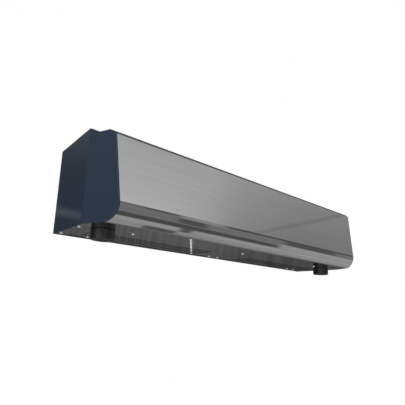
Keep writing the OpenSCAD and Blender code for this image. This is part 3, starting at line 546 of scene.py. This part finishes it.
with shaping(cap):
    pick(
        cap, "EDGE",
        lambda edge: {face.normal.x > SIDEWAYS for face in edge.link_faces} == {True, False},
    )
    bpy.ops.mesh.bevel(offset=CAP_EDGE_R, segments=3, affect="EDGES")
    pick(cap, "FACE", lambda face: face.normal.x < -SIDEWAYS)
    bpy.ops.mesh.inset(thickness=RIM_SEAT, use_even_offset=True)
    bpy.ops.mesh.inset(thickness=RIM_T, use_even_offset=True, use_select_inset=True)
    ring = {face.index for face in bmesh.from_edit_mesh(cap.data).faces if face.select}
    pick(cap, "FACE", lambda face: face.index in ring and middle(face).y < RIM_REAR)
    bpy.ops.mesh.extrude_region_move(TRANSFORM_OT_translate={"value": (-RIM_DEPTH, 0, 0)})
smooth(cap)


def mirrored(piece, name):
    """A copy for the other end, with its own mesh turned over and its faces set right."""
    twin = piece.copy()
    twin.data = piece.data.copy()
    twin.name = twin.data.name = name
    bpy.context.scene.collection.objects.link(twin)
    twin.data.transform(Matrix.Scale(-1, 4, (1, 0, 0)))
    twin.data.flip_normals()
    smooth(twin)
    return twin


cap_plastic = moulded_slate()
left_cap = mirrored(cap, "moulded_cap_left")
dress(cap, "casing", "cap_plastic", cap_plastic, "end_cap_right")
dress(left_cap, "casing", "cap_plastic", cap_plastic, "end_cap_left")


# The underside: a swing-down panel of satin stainless with two outlet openings, between
# two fixed strips. Its cut edges are deburred and the corners of its openings rounded.
satin = brushed("satin_underside", 0.45, 0.03)
coat_nodes("satin_outlet", satin)
# An opening runs from OUTLET_X to OUTLET_END short of the panel's end, and from OUTLET_Y
# forwards by OUTLET_W.
OUTLET_X, OUTLET_END, OUTLET_Y, OUTLET_W = 92 * MM, 18 * MM, -50 * MM, 94 * MM
PANEL_CORNER_R, OUTLET_CORNER_R, DEBURRED = 2 * MM, 5 * MM, 0.12 * MM
panel_low, panel_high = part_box("service_panel")
outlet_out = panel_high.x - OUTLET_END
panel = start(
    "outlet_panel_sheet", bpy.ops.mesh.primitive_cube_add, size=1,
    location=(panel_low + panel_high) / 2, scale=panel_high - panel_low,
)
round_corners(panel, PANEL_CORNER_R)
for side in (-1, 1):
    window = start(
        "window_tool", bpy.ops.mesh.primitive_cube_add, size=1,
        location=(side * (OUTLET_X + outlet_out) / 2, OUTLET_Y - OUTLET_W / 2, panel_low.z),
        scale=(outlet_out - OUTLET_X, OUTLET_W, PUNCH_H),
    )
    round_corners(window, OUTLET_CORNER_R)
    cut_out(panel, window)
modify(
    panel, "BEVEL", width=DEBURRED, segments=2, limit_method="ANGLE", angle_limit=math.radians(40)
)
smooth(panel)
dress(panel, "outlet_panel", "satin_outlet", satin, "service_panel")


# The outlet grilles: thin perforated steel laid over the openings from inside. The
# holes are 6 mm across, in staggered rows at a pitch of 9 mm, punched edge to edge.
HOLE_R, HOLE_PITCH, HOLE_SIDES = 3 * MM, 9 * MM, 12
ROW_STEP = HOLE_PITCH * math.sqrt(3) / 2
grille_low, grille_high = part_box("outlet_grille_right")
grille = start(
    "perforated_grille_right", bpy.ops.mesh.primitive_circle_add,
    vertices=6, radius=HOLE_PITCH / math.sqrt(3), location=grille_low,
)
with shaping(grille):
    bpy.ops.mesh.select_mode(type="EDGE")
    bpy.ops.mesh.select_all(action="SELECT")
    bpy.ops.mesh.subdivide(number_cuts=1)
    bpy.ops.mesh.select_all(action="DESELECT")
    bpy.ops.mesh.primitive_circle_add(vertices=HOLE_SIDES, radius=HOLE_R, location=grille_low)
    bpy.ops.mesh.select_all(action="SELECT")
    bpy.ops.mesh.bridge_edge_loops()
columns = math.ceil((grille_high.x - grille_low.x) / HOLE_PITCH) + 1
rows = math.ceil((grille_high.y - grille_low.y) / ROW_STEP / 2) + 1
repeat(grille, (2, (HOLE_PITCH / 2, ROW_STEP, 0)), (columns, (HOLE_PITCH, 0, 0)))
repeat(grille, (rows, (0, 2 * ROW_STEP, 0)))
with shaping(grille):
    bpy.ops.mesh.remove_doubles(threshold=2 * MERGE)
    for spot, away in (
        (grille_low, (-1, 0, 0)), (grille_high, (1, 0, 0)),
        (grille_low, (0, -1, 0)), (grille_high, (0, 1, 0)),
    ):
        bpy.ops.mesh.select_all(action="SELECT")
        bpy.ops.mesh.bisect(plane_co=spot, plane_no=away, clear_outer=True)
    bpy.ops.mesh.select_all(action="SELECT")
    bpy.ops.mesh.normals_make_consistent(inside=False)
turn_outwards(grille, grille_low, (0, 0, -1))
modify(grille, "SOLIDIFY", thickness=grille_high.z - grille_low.z, offset=-1)
left_grille = mirrored(grille, "perforated_grille_left")
dress(grille, "outlet_panel", "satin_outlet", satin, "outlet_grille_right")
dress(left_grille, "outlet_panel", "satin_outlet", satin, "outlet_grille_left")


# The hand knobs: round black mouldings with a slight taper and a moulded-in stud. A
# quarter turn swings the stud's crossbar over the casing's flange and holds the panel.
def black_moulding():
    """Black plastic with faint rings round it, as a turned mould leaves."""
    black = Finish("black_moulding")
    cloud = black.noise((60, 60, 60), detail=2)
    turned = black.noise((30, 30, 900), detail=1)
    return black.surface({
        "Base Color": black.mixed(grey(0.009), grey(0.014), cloud),
        "Roughness": 0.26 + cloud * 0.10,
        "Specular IOR Level": 0.5,
        "Normal": black.bump(turned, 0.02 * MM, 0.3),
    })


black = black_moulding()
coat_nodes("knob_plastic", black)
coat_nodes("gland_plastic", black)
# A knob: how much it tapers, the shallow recess under it, and how its edges are rounded.
# A face whose normal has LEVEL of Z, or more, lies level.
KNOB_TAPER, KNOB_SIDES = 1 * MM, 96
LEVEL = 0.9
RECESS_R, RECESS_DEPTH = 11 * MM, 1.5 * MM
FOOT_ROUND, TOP_ROUND, RECESS_ROUND = 2.2 * MM, 0.8 * MM, 0.6 * MM
knob_low, knob_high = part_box("knob_right")
knob_at = (knob_low + knob_high) / 2
knob_r = (knob_high.x - knob_low.x) / 2
knob = start(
    "round_knob_right", bpy.ops.mesh.primitive_cylinder_add,
    vertices=KNOB_SIDES, radius=knob_r, depth=knob_high.z - knob_low.z, location=knob_at,
)
with shaping(knob):
    pick(knob, "FACE", lambda face: face.normal.z < -LEVEL)
    taper = 1 - KNOB_TAPER / knob_r
    bpy.ops.transform.resize(value=(taper, taper, 1), center_override=knob_at)
    bpy.ops.mesh.inset(thickness=knob_r - KNOB_TAPER - RECESS_R)
    bpy.ops.mesh.extrude_region_move(TRANSFORM_OT_translate={"value": (0, 0, RECESS_DEPTH)})
    for z, radius, rounding in (
        (knob_low.z, knob_r - KNOB_TAPER, FOOT_ROUND), (knob_low.z, RECESS_R, RECESS_ROUND),
        (knob_low.z + RECESS_DEPTH, RECESS_R, RECESS_ROUND), (knob_high.z, knob_r, TOP_ROUND),
    ):
        pick(knob, "EDGE", lambda edge: all(
            abs(v.co.z - z) < CLOSE and abs((v.co - knob_at).xy.length - radius) < CLOSE
            for v in edge.verts
        ))
        bpy.ops.mesh.bevel(offset=rounding, segments=4, affect="EDGES")
smooth(knob, 30)
left_knob = mirrored(knob, "round_knob_left")
dress(knob, "right_knob", "knob_plastic", black, "knob_right")
dress(left_knob, "left_knob", "knob_plastic", black, "knob_left")


# The pan-head screws: one screw with a cross recess, modelled once and copied. They hold
# the end caps, the front cover, the hinges and the top cover. The nuts and the latch
# studs have the same zinc plating as the screws on the top.
def metal(name, dark, light, rough, lay=(300, 300, 300), metallic=1.0):
    """A plated or ground metal. The lay says how its tool marks run: waves a metre."""
    bright = Finish(name)
    tool_marks = bright.noise(lay, detail=2)
    stain = bright.noise((40, 40, 40), detail=3)
    return bright.surface({
        "Base Color": bright.mixed(dark, light, stain * 0.6 + tool_marks * 0.4),
        "Metallic": metallic,
        "Roughness": rough + stain * 0.10,
        "Normal": bright.bump(tool_marks, 0.03 * MM, 0.3),
    })


bright_screw = metal("bright_screw", grey(0.82), grey(0.92), 0.34, metallic=0.35)
zinc_screw = metal("zinc_screw", grey(0.46, 0.01), grey(0.64, 0.015), 0.30)
coat_nodes("bright_screw", bright_screw)
coat_nodes("zinc_screw", zinc_screw)
HEAD_R, HEAD_H, HEAD_ROUND, HEAD_SIDES = 4 * MM, 2.4 * MM, 1.3 * MM, 40
SHANK_R = 2 * MM
CROSS_L, CROSS_W, CROSS_H = 4.4 * MM, 0.9 * MM, 2.6 * MM
# In radians: no two neighbours' crosses lie the same way.
FIRST_TURN, TURN_STEP = 0.3, 0.7


def pan_screw(grip):
    """A screw driven upwards at the origin: its head below, and its shank so long."""
    screw = start(
        "pan_screw", bpy.ops.mesh.primitive_cylinder_add,
        vertices=HEAD_SIDES, radius=HEAD_R, depth=HEAD_H, location=(0, 0, -HEAD_H / 2),
    )
    with shaping(screw):
        pick(screw, "FACE", lambda face: face.normal.z > LEVEL)
        bpy.ops.mesh.inset(thickness=HEAD_R - SHANK_R)
        bpy.ops.mesh.extrude_region_move(TRANSFORM_OT_translate={"value": (0, 0, grip)})
        pick(screw, "EDGE", lambda edge: all(v.co.z < -HEAD_H + CLOSE for v in edge.verts))
        bpy.ops.mesh.bevel(offset=HEAD_ROUND, segments=5, affect="EDGES")
    for size in ((CROSS_L, CROSS_W, CROSS_H), (CROSS_W, CROSS_L, CROSS_H)):
        cut_out(screw, start(
            "driver", bpy.ops.mesh.primitive_cube_add, size=1, location=(0, 0, -HEAD_H), scale=size
        ))
    smooth(screw, 40)
    return screw


def set_screws(name, grip, places, material, slot, body, node):
    """Copies of a screw at (x, y, z, up or down), each turned to its own angle, as one piece."""
    screw = pan_screw(grip)
    copies = []
    for number, (x, y, z, way) in enumerate(places):
        twin = screw.copy()
        twin.data = screw.data.copy()
        bpy.context.scene.collection.objects.link(twin)
        over = Matrix.Rotation(0 if way > 0 else math.pi, 4, "X")
        driven = Matrix.Rotation(FIRST_TURN + TURN_STEP * number, 4, "Z")
        twin.data.transform(Matrix.Translation((x, y, z)) @ over @ driven)
        copies.append(twin)
    bpy.data.objects.remove(screw)
    choose(copies[0])
    for twin in copies:
        twin.select_set(True)
    bpy.ops.object.join()
    joined = bpy.context.object
    joined.name = joined.data.name = name
    dress(joined, body, slot, material, node)


# The cap screws' X and their rows below and above, and how deep the screws of the caps,
# the front cover and the thin sheets go. A hinge screw sits LEAF_DX from its hinge's middle.
END_X, LOWER_ROWS, UPPER_ROWS = 592 * MM, (-40 * MM, -177 * MM), (-37.5 * MM, -185 * MM)
CAP_GRIP, FRONT_GRIP, THIN_GRIP = 8 * MM, 7 * MM, 6 * MM
LEAF_DX = 22 * MM
set_screws(
    "cap_screws", CAP_GRIP,
    [(side * END_X, y, ground_z, 1) for side in (-1, 1) for y in LOWER_ROWS]
    + [(side * END_X, y, roof_z, -1) for side in (-1, 1) for y in UPPER_ROWS],
    bright_screw, "bright_screw", "casing", "end_cap_screws",
)
row_low, row_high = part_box("front_cover_screws")
row_x = row_high.x - HEAD_R
set_screws(
    "cover_screws", FRONT_GRIP,
    [(x, row_low.y + HEAD_R, ground_z, 1) for x in (-row_x, 0, row_x)],
    bright_screw, "bright_screw", "casing", "front_cover_screws",
)
leaf_low, leaf_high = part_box("hinge_screws")
leaf_x = leaf_high.x - HEAD_R - LEAF_DX
set_screws(
    "leaf_screws", THIN_GRIP,
    [
        (x + dx, leaf_low.y + HEAD_R, ground_z, 1)
        for x in (-leaf_x, 0, leaf_x) for dx in (-LEAF_DX, LEAF_DX)
    ],
    bright_screw, "bright_screw", "outlet_panel", "hinge_screws",
)
lid_low, lid_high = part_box("top_cover_screws")
lid_x = lid_high.x - HEAD_R
set_screws(
    "intake_cover_screws", THIN_GRIP,
    [(lid_x * part, lid_low.y + HEAD_R, roof_z, -1) for part in (-1, -1 / 3, 1 / 3, 1)],
    zinc_screw, "zinc_screw", "casing", "top_cover_screws",
)


# The hinges: three steel butt hinges along the panel's rear edge, with plain pins. Their
# leaves lie inside, one on the back panel's flange and one screwed to the outlet panel.
hinge_steel = metal("hinge_steel", grey(0.34, 0.01), grey(0.50, 0.01), 0.30, (40, 900, 900))
coat_nodes("hinge_steel", hinge_steel)


# The fans: two aluminium tangential wheels on one ground steel shaft, with bronze bushes
# and end bearings. The wheels are thin sheet, and keep a dull mill finish with some dust.
def mill_aluminium():
    sheet = Finish("mill_aluminium")
    dust = sheet.noise((12, 40, 40), detail=4)
    grain = sheet.noise((20, 900, 900), detail=1)
    return sheet.surface({
        "Base Color": sheet.mixed(grey(0.42), grey(0.66), dust * 0.6 + grain * 0.4),
        "Metallic": 0.9,
        "Roughness": 0.36 + dust * 0.16,
        "Normal": sheet.bump(grain, 0.03 * MM, 0.4),
    })


coat_nodes("fan_aluminium", mill_aluminium())
ground_steel = metal("ground_steel", grey(0.48), grey(0.60), 0.18, (1200, 60, 60))
bronze = metal("sintered_bronze", (0.38, 0.22, 0.09, 1), (0.52, 0.32, 0.14, 1), 0.38)
coat_nodes("ground_steel", ground_steel)
coat_nodes("bronze", bronze)


# The rubbers: hub rubbers, bearing rings, the motor's resilient rings and the grommet,
# all moulded in a dull black rubber with a bloom on it.
def moulded_rubber():
    rubber = Finish("black_rubber")
    bloom = rubber.noise((70, 70, 70), detail=4)
    return rubber.surface({
        "Base Color": rubber.mixed(grey(0.012), grey(0.035), bloom),
        "Roughness": 0.62 + bloom * 0.2,
        "Normal": rubber.bump(bloom, 0.1 * MM, 0.5),
    })


coat_nodes("rubber", moulded_rubber())


# The motor: a laminated core with copper windings between two painted end bells. The
# laminations show as fine lines round the core.
LAMINATION_WAVES = 320.0


def laminations():
    """Bare steel edges, with a little rust between the sheets."""
    core = Finish("core_laminations")
    sheets = core.node(
        "TexWave", {"wave_type": "BANDS", "bands_direction": "X"},
        {"Vector": core.place(), "Scale": LAMINATION_WAVES, "Distortion": 0.0},
    )
    rust = core.noise((50, 50, 50), detail=4)
    return core.surface({
        "Base Color": core.mixed(
            (0.10, 0.095, 0.09, 1), (0.24, 0.22, 0.20, 1), sheets * 0.6 + rust * 0.4
        ),
        "Metallic": 0.8,
        "Roughness": 0.42 + rust * 0.2,
        "Normal": core.bump(sheets, 0.1 * MM, 0.5),
    })


def copper():
    """Enamelled wire, laid round in strands."""
    wire = Finish("enamelled_copper")
    strands = wire.noise((700, 90, 90), detail=2)
    return wire.surface({
        "Base Color": wire.mixed((0.30, 0.10, 0.03, 1), (0.62, 0.25, 0.09, 1), strands),
        "Metallic": 0.9,
        "Roughness": 0.30 + strands * 0.15,
        "Normal": wire.bump(strands, 0.4 * MM, 0.7),
    })


def plain_coat(name, dark, light, rough):
    """A paint or a moulding: a slight cloud in the colour, and a fine peel."""
    coat = Finish(name)
    cloud = coat.noise((30, 30, 30), detail=3)
    peel = coat.noise((800, 800, 800), detail=1)
    return coat.surface({
        "Base Color": coat.mixed(dark, light, cloud),
        "Roughness": rough + cloud * 0.1,
        "Specular IOR Level": 0.4,
        "Normal": coat.bump(peel, 0.05 * MM, 0.5),
    })


coat_nodes("core_laminations", laminations())
coat_nodes("copper_windings", copper())
coat_nodes("motor_paint", plain_coat("motor_paint", grey(0.060, 0.01), grey(0.085, 0.012), 0.42))


# The electrics in the wiring space: an ivory terminal block, a run capacitor in a white
# plastic can, and the sheathed motor lead.
ivory = plain_coat("ivory_plastic", (0.58, 0.53, 0.42, 1), (0.66, 0.61, 0.50, 1), 0.38)
coat_nodes("ivory_plastic", ivory)
coat_nodes("capacitor_can", plain_coat("capacitor_can", grey(0.62), grey(0.70), 0.34))
coat_nodes("cable_sheath", plain_coat("cable_sheath", grey(0.016), grey(0.024), 0.48))


# The studio: a pale floor well below the unit, soft lamps, and a round tent that only
# polished surfaces see. It stands for the room that the stainless sheets mirror.
FLOOR_Z, FLOOR_R, FLOOR_MIDDLE = -1.7, 4.5, (0.3, 0.4)
FLOOR_GLOW = 0.60


def shown_rays(finish):
    """1 for what the camera sees, itself or in metal or glass, and 0 for light on a surface."""
    seen = [
        finish.node("LightPath", output=ray)
        for ray in ("Is Camera Ray", "Is Glossy Ray", "Is Transmission Ray")
    ]
    return finish.node("Math", {"operation": "MINIMUM"}, {0: seen[0] + seen[1] + seen[2], 1: 1.0})


floor_paint = Finish("studio_floor")
floor_paint.surface({
    "Base Color": grey(0.94),
    "Roughness": 0.9,
    "Specular IOR Level": 0.1,
    "Emission Color": floor_paint.mixed(grey(0.0), grey(FLOOR_GLOW), shown_rays(floor_paint)),
    "Emission Strength": 1.0,
})
floor = start(
    "studio_floor", bpy.ops.mesh.primitive_circle_add,
    vertices=96, radius=FLOOR_R, fill_type="NGON", location=(*FLOOR_MIDDLE, FLOOR_Z),
)
floor.data.materials.append(floor_paint.owner)
floor.visible_glossy = False

TENT_R = 8.0
SOFT, FADED = 0.0015, 0.012
tent_paint = Finish("studio_tent")
x_at, y_at, z_at = [
    tent_paint.node("SeparateXYZ", None, {"Vector": tent_paint.place()}, output=axis) / TENT_R
    for axis in "XYZ"
]
# Round the X axis, as a turn from the back horizon through below, front and above.
angle = tent_paint.node("Math", {"operation": "ARCTAN2"}, {0: z_at, 1: y_at * -1})
turn = angle / (2 * math.pi) + 0.5


def between(wire, low, high, soft=SOFT):
    """1 where a wire lies between two values, and 0 elsewhere, with an edge so soft."""
    begun = tent_paint.ramp(wire, low - soft, low + soft)
    ended = tent_paint.ramp(wire, high - soft, high + soft)
    return begun - ended


def lit(light, level, mask):
    """The light of the room, with one more thing in it."""
    return light + (level - light) * mask


def streaks_at(across, along):
    """Noise from 0 to 1, drawn out by the two coordinates that it is given."""
    spot = tent_paint.node("CombineXYZ", None, {"X": across, "Y": along})
    return tent_paint.node("TexNoise", None, {"Vector": spot, "Scale": 1.0, "Detail": 2.0})


# How light the room is at each turn: the floor, the front, the ceiling and the back.
ROOM = [
    (0.000, 0.12), (0.055, 0.13), (0.090, 0.18), (0.160, 0.36), (0.172, 0.43), (0.250, 0.44),
    (0.265, 0.52), (0.322, 0.50), (0.345, 0.12), (0.403, 0.12), (0.425, 0.29), (0.470, 0.26),
    (0.530, 0.28), (0.575, 0.22), (0.640, 0.55), (0.760, 0.80), (0.850, 0.25), (0.920, 0.23),
    (0.940, 0.08), (0.980, 0.055), (1.000, 0.12),
]
light = tent_paint.node("ValToRGB", {"stops": ROOM}, {"Fac": turn})

# The bright wall that the front panel mirrors: its turns, its X in tent radii, and its
# level from one end to the other. A part of it stands nearer, it is clad in boards, and
# a dark beam crosses it at a slant.
WALL_TURNS, WALL_X = (0.579, 0.640), (0.30, 0.90)
WALL = [(0.00, 0.74), (0.33, 0.69), (0.46, 0.655), (0.60, 0.50), (0.80, 0.39), (1.00, 0.352)]
NEAR_TURNS, NEAR_X, NEAR_MORE = (0.588, 0.618), (0.50, 0.68), (0.09, -0.10)
BOARDS, BOARDS_ALONG, BOARD_SLANT, BOARD_SHADE = 200, 3, 0.015, 0.12
BEAM_BY_X, BEAM_BY_Y, BEAM, BEAM_SHADE = 0.1823, 0.1723, (0.1290, 0.1366), 0.30
wall = tent_paint.node(
    "ValToRGB", {"stops": WALL}, {"Fac": tent_paint.ramp(x_at, *WALL_X)}
)
nearer = tent_paint.ramp(turn, *NEAR_TURNS, 1, -1) * tent_paint.ramp(x_at, *NEAR_X, *NEAR_MORE)
beam = between(z_at - x_at * BEAM_BY_X + y_at * BEAM_BY_Y, *BEAM)
boards = streaks_at((turn - x_at * BOARD_SLANT) * BOARDS, x_at * BOARDS_ALONG)
wall = wall * (1 + nearer) * (1 + (boards - 0.5) * BOARD_SHADE) * (1 - beam * BEAM_SHADE)
light = lit(light, wall, between(turn, *WALL_TURNS))

# What stands in the room: from one turn to another, from one X to another, and how light.
THINGS = [
    (0.120, 0.245, 0.300, 0.440, 0.44), (0.120, 0.235, 0.440, 0.530, 0.15),
    (0.245, 0.345, 0.530, 0.560, 0.12), (0.430, 0.520, 0.510, 0.585, 0.13),
    (0.520, 0.577, 0.520, 0.635, 0.40), (0.540, 0.577, 0.420, 0.515, 0.16),
    (0.540, 0.577, 0.640, 1.000, 0.12), (0.335, 0.445, 0.755, 1.000, 0.50),
    (0.455, 0.540, 0.765, 0.850, 0.14), (0.9628, 0.9664, -0.50, -0.20, 0.26),
]
for turn_low, turn_high, x_low, x_high, level in THINGS:
    light = lit(light, level, between(turn, turn_low, turn_high) * between(x_at, x_low, x_high))

# What is light in its left half: its turns, the X where it starts to fade and ends, level.
LEFT_HALF = [
    (0.440, 0.620, 0.00, 0.28, 0.52), (0.270, 0.420, 0.00, 0.28, 1.10),
    (0.480, 0.620, -0.80, -0.60, 1.20),
]
for turn_low, turn_high, x_fading, x_gone, level in LEFT_HALF:
    fading = tent_paint.ramp(x_at, x_fading, x_gone, 1, 0)
    light = lit(light, level, between(turn, turn_low, turn_high, FADED) * fading)

# Low at the back, where the underside looks: a bright slit, a shade, and dim streaks.
SLIT_TURNS, SLIT, SLIT_SLANT, SLIT_LEVEL = (0.0, 0.045), (0.6205, 0.6225), 0.79, 1.8
SHADE, SHADE_SLANT, SHADE_LEVELS = (0.44, 0.64), 4, (1.0, 0.66)
STREAKS, STREAKS_ALONG, STREAK_TURNS, STREAK_SHADE = 60, 4, (0.05, 0.08), (1.2, 0)
slit = between(x_at + turn * SLIT_SLANT, *SLIT) * between(turn, *SLIT_TURNS)
light = lit(light, SLIT_LEVEL, slit)
light = light * tent_paint.ramp(x_at - turn * SHADE_SLANT, *SHADE, *SHADE_LEVELS)
streaks = streaks_at(x_at * STREAKS, turn * STREAKS_ALONG)
light = light * (1 + (streaks - 0.5) * tent_paint.ramp(turn, *STREAK_TURNS, *STREAK_SHADE))
glow = tent_paint.node("Emission", None, {"Color": light, "Strength": 1.0})
tent_paint.node("OutputMaterial", None, {"Surface": glow})
tent = start(
    "studio_tent", bpy.ops.mesh.primitive_uv_sphere_add, segments=64, ring_count=32, radius=TENT_R,
)
tent.data.materials.append(tent_paint.owner)
tent.visible_camera = False
tent.visible_diffuse = False
tent.visible_shadow = False

# The air is white where it is seen or mirrored, and lights the unit at less than half.
AIR_LIGHT = 0.45
air = Finish("studio_air", bpy.data.worlds.new("studio_air"))
air_strength = shown_rays(air) * (1 - AIR_LIGHT) + AIR_LIGHT
backdrop = air.node("Background", None, {"Color": grey(1.0), "Strength": air_strength})
air.node("OutputWorld", None, {"Surface": backdrop})
bpy.context.scene.world = air.owner


def soft_lamp(name, at, side, power):
    """A square lamp that looks at the middle of the unit: its side in metres, and watts."""
    lamp = bpy.data.objects.new(name, bpy.data.lights.new(name, "AREA"))
    lamp.data.size = side
    lamp.data.energy = power
    lamp.location = at
    lamp.rotation_euler = (-Vector(at)).to_track_quat("-Z", "Y").to_euler()
    lamp.visible_glossy = False
    bpy.context.scene.collection.objects.link(lamp)


soft_lamp("key_lamp", (-1.6, -3.2, 1.4), 1.8, 90)
soft_lamp("fill_lamp", (2.4, -2.4, 0.2), 2.0, 30)


# The camera stands low in front of the left-hand end and looks up at the unit. The
# picture is the lower part of a taller view, so the lens is shifted up a little.
CAMERA_AT = (-0.9350, -1.1074, -0.3187)
PAN, TILT, ROLL = -39.44, 9.54, 2.68
LENS, SHIFT_Y = 32.29, 0.1025
camera = bpy.data.objects.new("camera", bpy.data.cameras.new("camera"))
camera.matrix_world = (
    Matrix.Translation(CAMERA_AT)
    @ Matrix.Rotation(math.radians(PAN), 4, "Z")
    @ Matrix.Rotation(math.radians(90 + TILT), 4, "X")
    @ Matrix.Rotation(math.radians(ROLL), 4, "Z")
)
camera.data.lens = LENS
camera.data.shift_y = SHIFT_Y
bpy.context.scene.collection.objects.link(camera)
bpy.context.scene.camera = camera
bpy.context.scene.view_settings.view_transform = "Standard"
